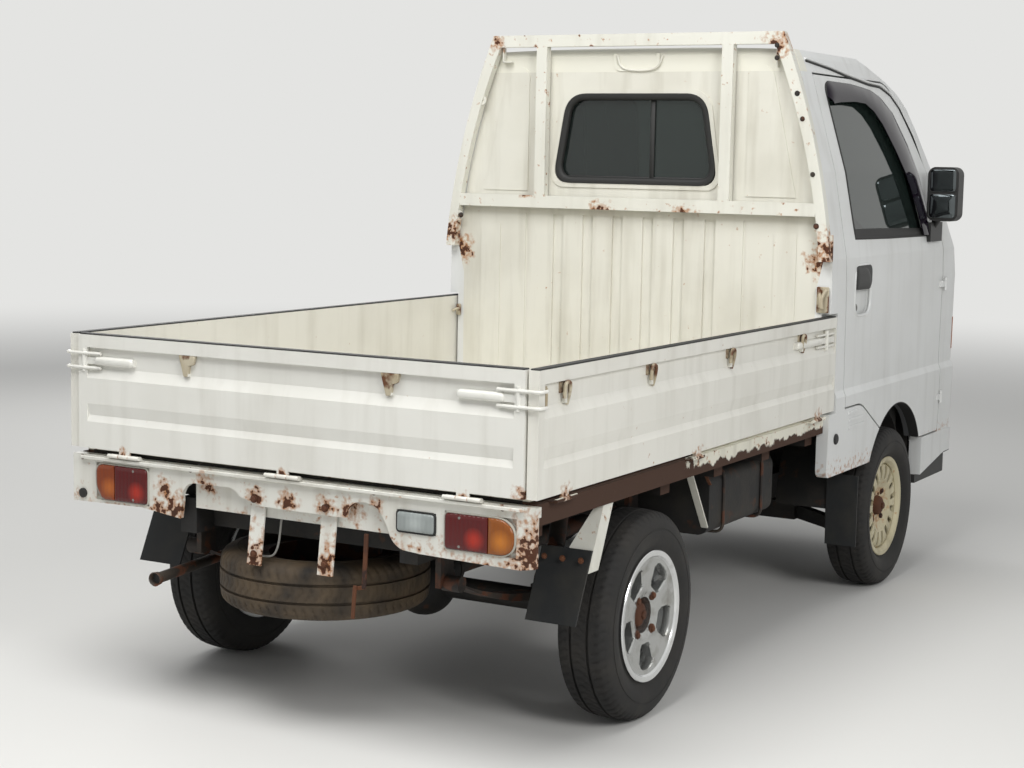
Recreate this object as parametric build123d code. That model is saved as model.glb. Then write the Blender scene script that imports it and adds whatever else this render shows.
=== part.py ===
from build123d import *
import math
import os

# A kei truck with a drop-side bed, right-hand drive, built as its separate pieces.
# Millimetres. +X is the truck's left, +Y its rear, +Z up. The origin is on the ground,
# in the middle of the overall length and width.

# Clearances
panel_gap = 6.0            # between a door and the cab around it
gate_gap = 5.0             # between neighbouring gates
seat_gap = 0.3             # between a turning piece and its seat
rim_gap = 0.2              # between a tyre's bead and its rim

# Running gear
front_axle_y = -884.0
wheelbase = 1885.0
rear_axle_y = front_axle_y + wheelbase
rear_overhang = 639.0      # rear axle to the tailgate's face
tail_face_y = rear_axle_y + rear_overhang
tyre_radius = 271.0
tyre_width = 147.0
wheel_plane_x = 614.5      # middle of every tyre
bead_radius = 152.5
bead_half = 50.0
rear_bead_half = 64.0      # the alloy wheels are wider
flange_radius = 170.0
flange_thick = 6.5
barrel_thick = 6.3
spindle_radius = 18.0
hub_radius = 46.0
axle_z = tyre_radius

# Steering axis of the left wheel, from the ball joint up to the strut's top
ball_x = 585.0
ball_z = 165.0
top_x = 440.0
top_z = 640.0

# Bed
cab_rear_y = -235.0
gate_outer_x = 690.0
bed_half = gate_outer_x - 33.0
sill_outer_x = gate_outer_x - 15.0
bed_top_z = 664.0
bed_plate = 12.0
rib_height = 4.0
rib_width = 46.0
rib_pitch = 104.0
rib_count = 12
bed_front_y = cab_rear_y + 3.0
bed_rear_y = tail_face_y - 34.0
sill_width = 36.0
sill_low_z = 598.0
bearer_count = 6
bearer_width = 56.0
bearer_inset = 66.0        # from the bed's rear edge to the last bearer

# Gates
gate_thick = 27.0
gate_top_z = 957.0
gate_low_z = 664.0
gate_front_y = -282.0
gate_rear_y = tail_face_y - 6.0
gate_end_strip = 28.0
rail_low_z = 925.0
band_slope_z = 873.0       # the slope under the sunk band, its upper and lower edges
band_low_z = 846.0
band_depth = 11.0
crease_start_z = 780.0     # the face draws in from here down to the crease
crease_top_z = 750.0
crease_low_z = 733.0
crease_depth = 6.0
gate_hinge_z = 650.5
gate_hinge_out = 2.5       # from the gate's face out to its hinge line
gate_pin_radius = 2.4
gate_barrel_radius = 5.0
gate_barrel = 34.0

# Cab outline, one row for each level. The lower body stands out under a shoulder.
# columns: level, half width, where the front corner starts, corner radius, bulge of the front
cab_levels = [
    (340.0, 684.0, -1505.0, 118.0, 8.0),
    (560.0, 692.0, -1520.0, 110.0, 8.0),
    (700.0, 692.5, -1522.0, 110.0, 8.0),
    (722.0, 684.0, -1516.0, 108.0, 8.0),
    (1040.0, 686.0, -1519.0, 108.0, 9.0),
    (1135.0, 684.0, -1500.0, 106.0, 20.0),
    (1404.0, 641.0, -1332.0, 98.0, 26.0),
    (1550.0, 602.0, -1246.0, 94.0, 26.0),
    (1625.0, 582.0, -1190.0, 92.0, 26.0),
    (1675.0, 569.0, -1112.0, 90.0, 26.0),
    (1715.0, 558.0, -1005.0, 88.0, 26.0),
    (1757.0, 541.0, -868.0, 84.0, 24.0),
    (1810.0, 512.0, -680.0, 78.0, 22.0),
]
door_wall = 52.0           # door and lower side, right through
pillar_wall = 28.0         # window frames and pillars
back_wall_thick = 30.0
roof_wall = 24.0
roof_crown_z = 1788.0
roof_edge_z = 1777.0
roof_edge_x = 520.0
roof_rear_z = 1786.0
roof_round = 26.0          # rounding of the roof's rear edge
roof_bend_y = -900.0       # the roof falls from here to the windscreen
roof_bend_z = 1770.0
roof_front_y = -1300.0
roof_front_z = 1690.0
cab_end_y = -1800.0        # beyond the cab's front, and
wide = 800.0               # beyond its sides, for cuts

# Window in the back wall
rear_window_low_z = 1352.0
rear_window_top_z = 1640.0
rear_window_low_half = 294.0
rear_window_top_half = 246.0
rear_window_corner = 52.0

# Door, seen from the side
door_front_y = -1380.0
door_top_z = 1704.0
door_top_rear_y = -332.0
door_rear_y = -368.0
door_rear_low_y = -384.0
door_sill_z = 665.0
door_front_sill_z = 478.0
belt_z = 1130.0
hinge_levels = [600.0, 1010.0]
hinge_radius = 5.5
hinge_pin_radius = 2.6
hinge_knuckle = 22.0

# Front wheel arch, and the wheelhouse inside it
arch_y = -915.0
arch_z = 332.0
arch_radius = 292.0
house_radius = 315.0
house_z = 300.0
house_wall = 8.0
house_inner_x = 400.0
house_outer_x = 618.0

# Cab floor
footwell_z = 400.0
seat_deck_z = 700.0
floor_thick = 18.0
step_y = -1222.0
back_wall_low_z = 600.0
quarter_low_z = 455.0
quarter_inner_x = 654.0
quarter_corner = 26.0

# Notch in the cab's rear corner, where the side gate's front end stands
notch_x = gate_outer_x - gate_thick - 8.0
notch_front_y = -298.0
notch_low_z = gate_low_z - 9.0
notch_top_z = 968.0

# Chassis
rail_inner_x = 305.0
rail_outer_x = 355.0
rail_front_low_z = 300.0
rail_front_top_z = 382.0
rail_rear_low_z = 470.0
rail_rear_top_z = 560.0
rail_front_y = -1540.0
rail_rear_y = tail_face_y - 40.0
kick_front_y = -350.0
kick_rear_y = -60.0

# Rear panel and lamps
panel_face_y = tail_face_y - 10.0
panel_thick = 14.0
panel_half = gate_outer_x - 3.0
panel_top_z = 646.0
lens_thick = 8.0

# Guard frame behind the cab
guard_rear_y = -200.0
guard_depth = 28.0
guard_top_z = 1829.0
guard_bar = 38.0
guard_top_half = 512.0
guard_middle_half = gate_outer_x - 56.0
guard_middle_z = 1450.0
guard_foot_half = gate_outer_x - 4.0
guard_foot_z = 1130.0
guard_post = 34.0
guard_cross_top_z = 1307.0
guard_cross = 40.0
guard_upright_x = 329.0
guard_upright = 38.0
guard_plate_x = 540.0      # plates that join the crossbar to the back wall
guard_plate_width = 40.0
guard_foot_plate = 82.0    # plate behind each post's foot, its height


def block(x_low, x_high, y_low, y_high, z_low, z_high):
    """Box between its low and high corners."""
    size = (x_high - x_low, y_high - y_low, z_high - z_low)
    return Pos(x_low, y_low, z_low) * Box(*size, align=(Align.MIN, Align.MIN, Align.MIN))


def closed(plane, start, steps):
    """Face in a plane. Each step is an end point, or a point on an arc and its end point."""
    edges = []
    here = start
    for step in steps:
        there = step[-1]
        if len(step) == 2:
            edges.append(ThreePointArc(here, step[0], there))
        else:
            edges.append(Line(here, there))
        here = there
    return plane * make_face(edges)


def polygon(plane, points):
    """Face in a plane from its corners."""
    return closed(plane, points[0], [(point,) for point in points[1:]] + [(points[0],)])


def along_x(face, x_low, x_high):
    """Prism of a face in the side view, from one place across the truck to another."""
    return extrude(Pos(x_low, 0, 0) * face, amount=x_high - x_low, dir=(1, 0, 0))


def along_y(face, y_low, y_high):
    """Prism of a face in the front view, from one place along the truck to another."""
    return extrude(Pos(0, y_low, 0) * face, amount=y_high - y_low, dir=(0, 1, 0))


def along_z(face, z_low, z_high):
    """Prism of a face in the plan, between two levels."""
    return extrude(Pos(0, 0, z_low) * face, amount=z_high - z_low, dir=(0, 0, 1))


def rod(start, end, radius):
    """Round bar between two points."""
    line = Vector(*end) - Vector(*start)
    plane = Plane(origin=start, z_dir=line.normalized())
    return plane * Cylinder(radius, line.length, align=(Align.CENTER, Align.CENTER, Align.MIN))


def across(solid):
    """The same piece on the other side of the truck."""
    return mirror(solid, about=Plane.YZ)


def both(solid):
    """A piece together with its twin on the other side."""
    return solid + across(solid)


def cab_section(level, half, start_y, radius, bulge, rear_y):
    """Plan outline of the cab at one level: straight sides, round corners, a bowed front."""
    turn = radius * (1 - math.sqrt(0.5))
    front_y = start_y - radius
    steps = [
        ((-half, start_y),),
        ((-half + turn, front_y + turn), (-half + radius, front_y)),
        ((0, front_y - bulge), (half - radius, front_y)),
        ((half - turn, front_y + turn), (half, start_y)),
        ((half, rear_y),),
        ((-half, rear_y),),
    ]
    return Pos(0, 0, level) * closed(Plane.XY, (-half, rear_y), steps)


def cab_form(lower_inset, upper_inset, rear_y):
    """Cab body through all its levels, drawn in by one distance below the belt and one above."""
    sections = []
    for level, half, start_y, radius, bulge in cab_levels:
        inset = lower_inset if level < belt_z else upper_inset
        sections.append(cab_section(level, half - inset, start_y, radius - inset, bulge, rear_y))
    return loft(sections, ruled=True)


def under_roof(drop):
    """Everything under the roof's surface, the surface lowered by a distance."""
    low = 0.0
    edge_z = roof_edge_z - drop
    crown = closed(Plane.XZ, (-wide, low), [
        ((-wide, edge_z),),
        ((-roof_edge_x, edge_z),),
        ((0, roof_crown_z - drop), (roof_edge_x, edge_z)),
        ((wide, edge_z),),
        ((wide, low),),
        ((-wide, low),),
    ])
    nose = closed(Plane.YZ, (0, low), [
        ((0, roof_rear_z - drop - roof_round),),
        ((cab_rear_y, roof_rear_z - drop - roof_round),),
        ((cab_rear_y - roof_round / 2, roof_rear_z - drop - roof_round / 3),
         (cab_rear_y - roof_round * 2, roof_rear_z - drop)),
        ((-600, roof_crown_z - drop), (roof_bend_y, roof_bend_z - drop)),
        ((roof_front_y, roof_front_z - drop),),
        ((cab_end_y, roof_front_z - drop),),
        ((cab_end_y, low),),
        ((0, low),),
    ])
    return along_y(crown, cab_end_y, 0) & along_x(nose, -wide, wide)


def half_width_at(z):
    """Outer half width of the cab's side at a level."""
    for lower, upper in zip(cab_levels, cab_levels[1:]):
        if z <= upper[0]:
            share = (z - lower[0]) / (upper[0] - lower[0])
            return lower[1] + share * (upper[1] - lower[1])
    return cab_levels[-1][1]


# Cab shell
outer_form = cab_form(0, 0, cab_rear_y) & under_roof(0)
inner_form = cab_form(door_wall, pillar_wall, cab_rear_y - back_wall_thick) & under_roof(roof_wall)
between_sides = cab_form(door_wall, pillar_wall, 0) & under_roof(roof_wall)
cab_shell = outer_form - inner_form
roof_split_z = door_top_z + panel_gap
arch = Pos(0, arch_y, arch_z) * Rot(0, 90, 0) * Cylinder(arch_radius, 1500)


def door_outline(grow):
    """Door in the side view, grown all round by a distance."""
    g = grow
    slant_y = -534.0
    return closed(Plane.YZ, (door_top_rear_y + g, door_top_z + g), [
        ((door_rear_y + g, belt_z - 30),),
        ((door_rear_low_y + g, 742),),
        ((door_rear_low_y + g, door_sill_z - g),),
        ((slant_y + 34 + g / 4, door_sill_z - g),),
        ((slant_y - 1 + g / 4, door_sill_z - 5 - g), (slant_y - 34 + g / 4, door_sill_z - 18 - g)),
        ((-735 + g / 4, 560 - g),),
        ((-889 + g / 4, door_front_sill_z - g),),
        ((door_front_y - g, door_front_sill_z - g),),
        ((door_front_y - g, belt_z),),
        ((-1262 - g, 1430), (-1098 - g, 1640 + g)),
        ((-1040 - g / 2, 1686 + g), (-955, door_top_z + g)),
        ((door_top_rear_y + g, door_top_z + g),),
    ])


def window_outline(shrink):
    """Door window in the side view, drawn in all round by a distance."""
    s = shrink
    return closed(Plane.YZ, (-412 - s, 1640), [
        ((-418 - s, 1674 - s), (-452, 1684 - s)),
        ((-850, 1670 - s),),
        ((-925 + s / 2, 1646 - s), (-985 + s, 1590)),
        ((-1106 + s, 1379), (-1196 + s, 1186 + s)),
        ((-462 - s, 1194 + s),),
        ((-412 - s, 1640),),
    ])


def windscreen_outline():
    """Windscreen opening in the front view."""
    low_half = 612.0
    top_half = 484.0
    low_z = 1168.0
    top_z_here = 1672.0
    return closed(Plane.XZ, (-low_half + 50, low_z), [
        ((0, low_z - 6), (low_half - 50, low_z)),
        ((low_half - 12, low_z + 12), (low_half, low_z + 50)),
        ((top_half + 14, top_z_here - 50),),
        ((top_half - 4, top_z_here - 10), (top_half - 48, top_z_here)),
        ((0, top_z_here + 8), (-top_half + 48, top_z_here)),
        ((-top_half + 4, top_z_here - 10), (-top_half - 14, top_z_here - 50)),
        ((-low_half, low_z + 50),),
        ((-low_half + 12, low_z + 12), (-low_half + 50, low_z)),
    ])


def rear_window_outline(grow):
    """Window in the back of the cab: a wide trapezoid with round corners."""
    low = rear_window_low_z - grow
    high = rear_window_top_z + grow
    low_half = rear_window_low_half + grow
    top_half = rear_window_top_half + grow
    corner = rear_window_corner + grow / 2
    lean = (low_half - top_half) / (high - low)
    side_low = low_half - lean * corner
    side_high = top_half + lean * corner
    turn = corner * (1 - math.sqrt(0.5))
    return closed(Plane.XZ, (-low_half + corner, low), [
        ((low_half - corner, low),),
        ((low_half - turn, low + turn), (side_low, low + corner)),
        ((side_high, high - corner),),
        ((top_half - turn, high - turn), (top_half - corner, high)),
        ((-top_half + corner, high),),
        ((-top_half + turn, high - turn), (-side_high, high - corner)),
        ((-side_low, low + corner),),
        ((-low_half + turn, low + turn), (-low_half + corner, low)),
    ])


side_cut_x = 300.0         # how far in the cuts for the doors and windows reach
door_prism = along_x(door_outline(0), side_cut_x, wide) - arch
opening_prism = along_x(door_outline(panel_gap), side_cut_x, wide)
windscreen_cut = along_y(windscreen_outline(), cab_end_y, -1000)
rear_window_cut = along_y(rear_window_outline(0), -400, 0)
cab_fixed = cab_shell - opening_prism - across(opening_prism) - arch - windscreen_cut - rear_window_cut
below_roof = block(-wide, wide, cab_end_y, 0, 0, roof_split_z)

roof = cab_fixed - below_roof

bumper_top_z = door_front_sill_z - panel_gap
side_start_y = -900.0      # in front of this the sides belong to the front panel
front_part = block(-wide, wide, cab_end_y, side_start_y, bumper_top_z, roof_split_z)
cab_front = cab_fixed & front_part

wall_part = block(-wide, wide, cab_rear_y - back_wall_thick, 0, back_wall_low_z, roof_split_z)
back_wall = cab_fixed & between_sides & wall_part

side_part = block(0, wide, side_start_y, 0, quarter_low_z, roof_split_z)
cab_side = (cab_fixed - between_sides) & side_part
cab_side -= block(notch_x, wide, notch_front_y, 0, notch_low_z, notch_top_z)
# Below the bed the side is a single skin with a round lower rear corner
cab_side -= block(0, quarter_inner_x, side_start_y, 0, 0, back_wall_low_z)
corner_y = cab_rear_y - quarter_corner
corner_z = quarter_low_z + quarter_corner
turn = quarter_corner * math.sqrt(0.5)
cab_side -= along_x(closed(Plane.YZ, (corner_y, quarter_low_z), [
    ((corner_y + turn, corner_z - turn), (cab_rear_y, corner_z)),
    ((0, corner_z),),
    ((0, 0),),
    ((corner_y, 0),),
    ((corner_y, quarter_low_z),),
]), 0, wide)

# Three louvres pressed into the panel behind the door
# columns: level, front end
louvre_rows = [(643.0, -520.0), (620.0, -548.0), (596.0, -560.0)]
louvre_rear_y = -415.0
louvre_high = 10.0
louvre_proud = 3.5
for z, louvre_front_y in louvre_rows:
    outer = half_width_at(z)
    cab_side += block(outer - 2, outer + louvre_proud, louvre_front_y, louvre_rear_y,
                      z - louvre_high / 2, z + louvre_high / 2)

# Pressings of the back wall. Channels run up from the bed, a lip stands round the window,
# and a lobe stands on each side of it.
channel_depth = 7.0
channel_width = 38.0
channel_pitch = 109.0
channel_count = 6
channel_low_z = 690.0
channel_top_z = 1246.0
for number in range(channel_count):
    middle = (number - (channel_count - 1) / 2) * channel_pitch
    channel = block(middle - channel_width / 2, middle + channel_width / 2,
                    cab_rear_y - channel_depth, cab_rear_y + 1, channel_low_z, channel_top_z)
    back_wall -= channel
lip_width = 15.0
lip_proud = 4.0
lip = along_y(rear_window_outline(lip_width), cab_rear_y - 1, cab_rear_y + lip_proud)
lip -= rear_window_cut
back_wall += lip
emboss_proud = 3.0
lobe = along_y(closed(Plane.XZ, (390, 1322), [
    ((558, 1322),),
    ((476, 1690),),
    ((455, 1722), (425, 1728)),
    ((398, 1715), (390, 1680)),
    ((390, 1322),),
]), cab_rear_y - 1, cab_rear_y + emboss_proud)
panel = block(492, 566, cab_rear_y - 1, cab_rear_y + emboss_proud, channel_low_z, 1210)
line = block(386, 396, cab_rear_y - emboss_proud, cab_rear_y + 1, channel_low_z, channel_top_z)
pressings = both(lobe + panel)
back_wall = back_wall + (pressings & below_roof) - both(line)
grip_half = 82.0
grip_low_z = 1712.0
grip_top_z = 1768.0
grip_width = 12.0
grip = closed(Plane.XZ, (-grip_half, grip_top_z), [
    ((-grip_half, grip_low_z + 26),),
    ((-grip_half + 8, grip_low_z + 8), (-grip_half + 26, grip_low_z)),
    ((grip_half - 26, grip_low_z),),
    ((grip_half - 8, grip_low_z + 8), (grip_half, grip_low_z + 26)),
    ((grip_half, grip_top_z),),
    ((grip_half - grip_width, grip_top_z),),
    ((grip_half - grip_width, grip_low_z + 28),),
    ((grip_half - grip_width - 5, grip_low_z + 17), (grip_half - grip_width - 16, grip_low_z + 12)),
    ((-grip_half + grip_width + 16, grip_low_z + 12),),
    ((-grip_half + grip_width + 5, grip_low_z + 17), (-grip_half + grip_width, grip_low_z + 28)),
    ((-grip_half + grip_width, grip_top_z),),
    ((-grip_half, grip_top_z),),
])
pressings += along_y(grip, cab_rear_y - 1, cab_rear_y + emboss_proud)
roof += pressings - below_roof

# Glass
glass_thick = 5.0
glass_inset = 11.0
glass_form = (cab_form(glass_inset, glass_inset, cab_rear_y - glass_inset)
              - cab_form(glass_inset + glass_thick, glass_inset + glass_thick, 0))
windscreen = glass_form & windscreen_cut & block(-wide, wide, cab_end_y, -1100, belt_z, roof_split_z)
rear_window = along_y(rear_window_outline(-0.1), cab_rear_y - 20, cab_rear_y - 14)
door_glass = glass_form & along_x(window_outline(0.1), side_cut_x, wide)

# Doors
door = (cab_shell & door_prism) - along_x(window_outline(0), side_cut_x, wide)
door_hinge_x = max(level[1] for level in cab_levels) + hinge_radius
door_hinge_y = door_front_y - panel_gap / 2


leaf_outer_x = door_hinge_x - 2
leaf_length = 30.0
leaf_bury = 12.0           # how far a leaf goes into the skin
hinge_pins = Part()
for level in hinge_levels:
    leaf_inner_x = half_width_at(level) - leaf_bury
    middle = Pos(door_hinge_x, door_hinge_y, level)
    bore = middle * Cylinder(hinge_pin_radius + seat_gap, hinge_knuckle * 3)
    low_z = level - hinge_knuckle / 2
    high_z = level + hinge_knuckle / 2
    leaf = block(leaf_inner_x, leaf_outer_x, door_front_y, door_front_y + leaf_length, low_z, high_z)
    leaf -= middle * Cylinder(hinge_radius, hinge_knuckle * 3)
    door += (middle * Cylinder(hinge_radius, hinge_knuckle) - bore) + leaf
    door += block(leaf_outer_x - 2.4, leaf_outer_x, door_hinge_y + 1, door_front_y + leaf_bury,
                  low_z, high_z) - bore
    hinge_pins += middle * Cylinder(hinge_pin_radius, hinge_knuckle * 2)
    for side in (-1, 1):
        outer_z = level + side * (hinge_knuckle * 0.75 + seat_gap)
        height = hinge_knuckle / 2
        hinge_pins += Pos(door_hinge_x, door_hinge_y, outer_z) * Cylinder(hinge_radius, height)
        hinge_pins += block(leaf_inner_x, leaf_outer_x, door_hinge_y - leaf_length, door_hinge_y,
                            outer_z - height / 2, outer_z + height / 2)
cab_front += both(hinge_pins)

# Door handle: a flap in the upper half of a recess with round corners
handle_front_y = -604.0
handle_rear_y = -448.0
handle_low_z = 945.0
handle_split_z = 1034.0
handle_high_z = 1112.0
handle_corner = 40.0
handle_depth = 16.0
flap_corner = 26.0
flap_inset = 3.0
handle_x = half_width_at(handle_split_z)


def rounded(y_low, y_high, z_low, z_high, corner):
    """Rectangle with round corners in the side view."""
    face = RectangleRounded(y_high - y_low, z_high - z_low, corner)
    return Plane.YZ * Pos((y_low + y_high) / 2, (z_low + z_high) / 2) * face


door -= along_x(rounded(handle_front_y, handle_rear_y, handle_low_z, handle_high_z, handle_corner),
                handle_x - handle_depth, wide)
handle = along_x(rounded(handle_front_y + flap_inset, handle_rear_y - flap_inset, handle_split_z,
                         handle_high_z - flap_inset, flap_corner),
                 handle_x - handle_depth - flap_inset, handle_x + flap_inset)

# Mirror on its foot at the window's front corner
mirror_x = 729.0
mirror_y = -1225.0
mirror_z = 1332.0
mirror_wide = 110.0
mirror_deep = 62.0
mirror_high = 188.0
mirror_corner = 28.0
mirror_foot_low_z = 1165.0
mirror_foot_high_z = 1232.0
mirror_foot_x = 692.0
mirror_arm_radius = 13.0
mirror_foot = block(half_width_at(mirror_foot_high_z) - 4, mirror_foot_x, mirror_y - 105, mirror_y + 28,
                    mirror_foot_low_z, mirror_foot_high_z)
mirror_arm = rod((mirror_foot_x - 13, mirror_y - 35, mirror_foot_high_z - 15),
                 (mirror_x - 20, mirror_y, mirror_z - mirror_high / 2 + 12), mirror_arm_radius)
mirror_head = Pos(mirror_x, mirror_y, mirror_z) * Box(mirror_wide, mirror_deep, mirror_high)
mirror_head = fillet(mirror_head.edges().filter_by(Axis.Y), mirror_corner)
door_fittings = (mirror_foot + mirror_arm + mirror_head) + handle
door -= door_fittings

# Front bumper: its lower edge rises to the front corners, over a dark air dam
bumper_low_z = 338.0
bumper_rise_z = 384.0
bumper_rise_y = -1450.0
bumper_rear_y = -1200.0
bumper_wall = 44.0
bumper_half = 691.0
bumper_start_y = -1526.0
bumper_corner = 112.0
bumper_bow = 9.5
dam_low_z = 306.0
dam_inset = 20.0
dam_wall = 14.0


def bumper_ring(inset, wall, z_low, z_high):
    """Wall that follows the bumper's plan, drawn in from its face by a distance."""
    outer = cab_section(0, bumper_half - inset, bumper_start_y, bumper_corner - inset, bumper_bow, 0)
    inner = cab_section(0, bumper_half - inset - wall, bumper_start_y, bumper_corner - inset - wall,
                        bumper_bow, 0)
    return along_z(outer, z_low, z_high) - along_z(inner, z_low - 1, z_high + 1)


under_bumper = polygon(Plane.YZ, [
    (bumper_rear_y + 1, bumper_low_z), (bumper_rise_y, bumper_rise_z), (cab_end_y, bumper_rise_z + 6),
    (cab_end_y, 0), (bumper_rear_y + 1, 0)])
bumper = bumper_ring(0, bumper_wall, bumper_low_z, bumper_top_z)
bumper -= along_x(under_bumper, -wide, wide)
bumper += bumper_ring(dam_inset, dam_wall, dam_low_z, bumper_rise_z + 12)
bumper &= block(-wide, wide, cab_end_y, bumper_rear_y, 0, belt_z)
inlet_half = 300.0
inlet_low_z = 402.0
inlet_high_z = 444.0
inlet_floor_y = -1634.0
bumper -= block(-inlet_half, inlet_half, cab_end_y, inlet_floor_y, inlet_low_z, inlet_high_z)

# Lamps at the front
lamp_low_z = 764.0
lamp_high_z = 880.0
headlamp_inner_x = 384.0
headlamp_outer_x = 574.0
headlamp_rear_y = -1560.0
turn_inner_x = 580.0
turn_rear_y = -1535.0
lamp_proud = 2.0
lamp_depth = 26.0
lamp_rim = 3.0
headlamp_cut = block(headlamp_inner_x, headlamp_outer_x, cab_end_y, headlamp_rear_y, lamp_low_z,
                     lamp_high_z)
turn_cut = block(turn_inner_x, wide, cab_end_y, turn_rear_y, lamp_low_z, lamp_high_z)
lamp_form = cab_form(-lamp_proud, -lamp_proud, cab_rear_y) - cab_form(lamp_depth, lamp_depth, 0)
headlamp = lamp_form & headlamp_cut
turn_lamp = lamp_form & turn_cut
lamp_pocket = outer_form - cab_form(lamp_depth + seat_gap, lamp_depth + seat_gap, 0)
lamp_pocket &= block(headlamp_inner_x - lamp_rim, wide, cab_end_y, turn_rear_y + lamp_rim,
                     lamp_low_z - lamp_rim, lamp_high_z + lamp_rim)
cab_front = cab_front - both(lamp_pocket)

# Slots of the grille
grille_slot_z = [630.0, 658.0, 686.0]
grille_half = 300.0
grille_floor_y = -1626.0
grille_high = 14.0
for z in grille_slot_z:
    cab_front -= block(-grille_half, grille_half, cab_end_y, grille_floor_y, z - grille_high / 2,
                       z + grille_high / 2)

# Cab floor with its wheelhouses
floor_rear_y = cab_rear_y - back_wall_thick
step_rear_y = step_y + floor_thick
floor_profile = polygon(Plane.YZ, [
    (cab_end_y, footwell_z), (step_y, footwell_z), (step_y, seat_deck_z), (floor_rear_y, seat_deck_z),
    (floor_rear_y, seat_deck_z - floor_thick), (step_rear_y, seat_deck_z - floor_thick),
    (step_rear_y, footwell_z - floor_thick), (cab_end_y, footwell_z - floor_thick),
])
cab_floor = along_x(floor_profile, -wide, wide) & inner_form
house_ring = Rot(0, 90, 0) * (Cylinder(house_radius + house_wall, house_outer_x - house_inner_x)
                              - Cylinder(house_radius, 1000))
house_ring = Pos((house_inner_x + house_outer_x) / 2, front_axle_y, house_z) * house_ring
house_ring &= block(0, wide, cab_end_y, 0, house_z, belt_z)
house_webs = Part()
house_hole = rod((0, front_axle_y, house_z), (wide, front_axle_y, house_z), house_radius)
web_thick = 6.0
web_half = 240.0
web_low_z = 480.0
for web_x in (house_inner_x, house_outer_x - web_thick):
    web = block(web_x, web_x + web_thick, front_axle_y - web_half, front_axle_y + web_half, web_low_z,
                seat_deck_z - floor_thick)
    house_webs += web - house_hole
steer_axis = (Vector(top_x, 0, top_z) - Vector(ball_x, 0, ball_z)).normalized()
ball_point = Vector(ball_x, front_axle_y, ball_z)
strut_length = 439.7


def on_steer_axis(distance):
    """Point on the left wheel's steering axis, measured up from the ball joint."""
    point = ball_point + steer_axis * distance
    return (point.X, point.Y, point.Z)


tower_radius = 40.0
tower_length = 90.0
tower = rod(on_steer_axis(strut_length + seat_gap), on_steer_axis(strut_length + tower_length),
            tower_radius)
tower &= block(0, wide, cab_end_y, 0, 0, seat_deck_z - floor_thick)
tower_hole = rod(on_steer_axis(strut_length - 2 * tower_radius),
                 on_steer_axis(strut_length + seat_gap), tower_radius)
left_house = (house_ring + house_webs + tower) - tower_hole - cab_floor
cab_floor = Compound([cab_floor, left_house, across(left_house)])

# Seats and dashboard
seat_half = 225.0
seat_mid_x = 318.0
seat_front_y = -1010.0
seat_rear_y = -470.0
cushion_z = seat_deck_z + 108
backrest_z = seat_deck_z + 500
seat_profile = closed(Plane.YZ, (seat_front_y, seat_deck_z + seat_gap), [
    ((seat_front_y - 12, seat_deck_z + 60), (seat_front_y + 25, cushion_z)),
    ((seat_rear_y - 105, cushion_z - 16),),
    ((seat_rear_y - 10, backrest_z),),
    ((seat_rear_y + 24, backrest_z + 28), (seat_rear_y + 62, backrest_z)),
    ((seat_rear_y + 15, seat_deck_z + 60),),
    ((seat_rear_y, seat_deck_z + seat_gap),),
    ((seat_front_y, seat_deck_z + seat_gap),),
])
seat_left = along_x(seat_profile, seat_mid_x - seat_half, seat_mid_x + seat_half)
seat_right = across(seat_left)
dash_front_y = -1700.0     # cut to the cab's inside
dash_low_z = 700.0
dash_profile = closed(Plane.YZ, (dash_front_y, dash_low_z), [
    ((dash_front_y, 1064),),
    ((-1480, 1090), (-1330, 1040)),
    ((-1262, 960), (-1300, 880)),
    ((-1400, 800),),
    ((-1480, dash_low_z),),
    ((dash_front_y, dash_low_z),),
])
dash_half = 600.0
dashboard = along_x(dash_profile, -dash_half, dash_half) & inner_form
wheel_centre = Vector(-seat_mid_x, -1130, 1060)
steering_radius = 186.0
steering_grip = 13.0
steering_bar = 28.0
column_radius = 22.0
column_length = 265.0
column_dir = Vector(0, 0.62, 0.785).normalized()
steering_plane = Plane(origin=wheel_centre, z_dir=column_dir)
steering_bar_thick = 10.0
boss_radius = 42.0
boss_height = 40.0
boss_drop = 24.0
steering_rim = steering_plane * Torus(steering_radius, steering_grip)
steering_hub = steering_plane * Pos(0, 0, -boss_drop) * Cylinder(boss_radius, boss_height)
bar_length = 2 * steering_radius - 2 * steering_grip + 4
steering_bars = steering_plane * (Box(bar_length, steering_bar, steering_bar_thick)
                                  + Box(steering_bar, bar_length, steering_bar_thick))
column_end = wheel_centre - column_dir * column_length
column = rod(tuple(column_end), tuple(wheel_centre - column_dir * boss_drop), column_radius)
column -= dashboard
steering_wheel = steering_rim + steering_hub + steering_bars + column

# Chassis
rail_profile = polygon(Plane.YZ, [
    (rail_front_y, rail_front_low_z), (kick_front_y, rail_front_low_z),
    (kick_rear_y, rail_rear_low_z), (rail_rear_y, rail_rear_low_z),
    (rail_rear_y, rail_rear_top_z), (kick_rear_y - 20, rail_rear_top_z),
    (kick_front_y - 20, rail_front_top_z), (rail_front_y, rail_front_top_z),
])
rail_left = along_x(rail_profile, rail_inner_x, rail_outer_x)
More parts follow.
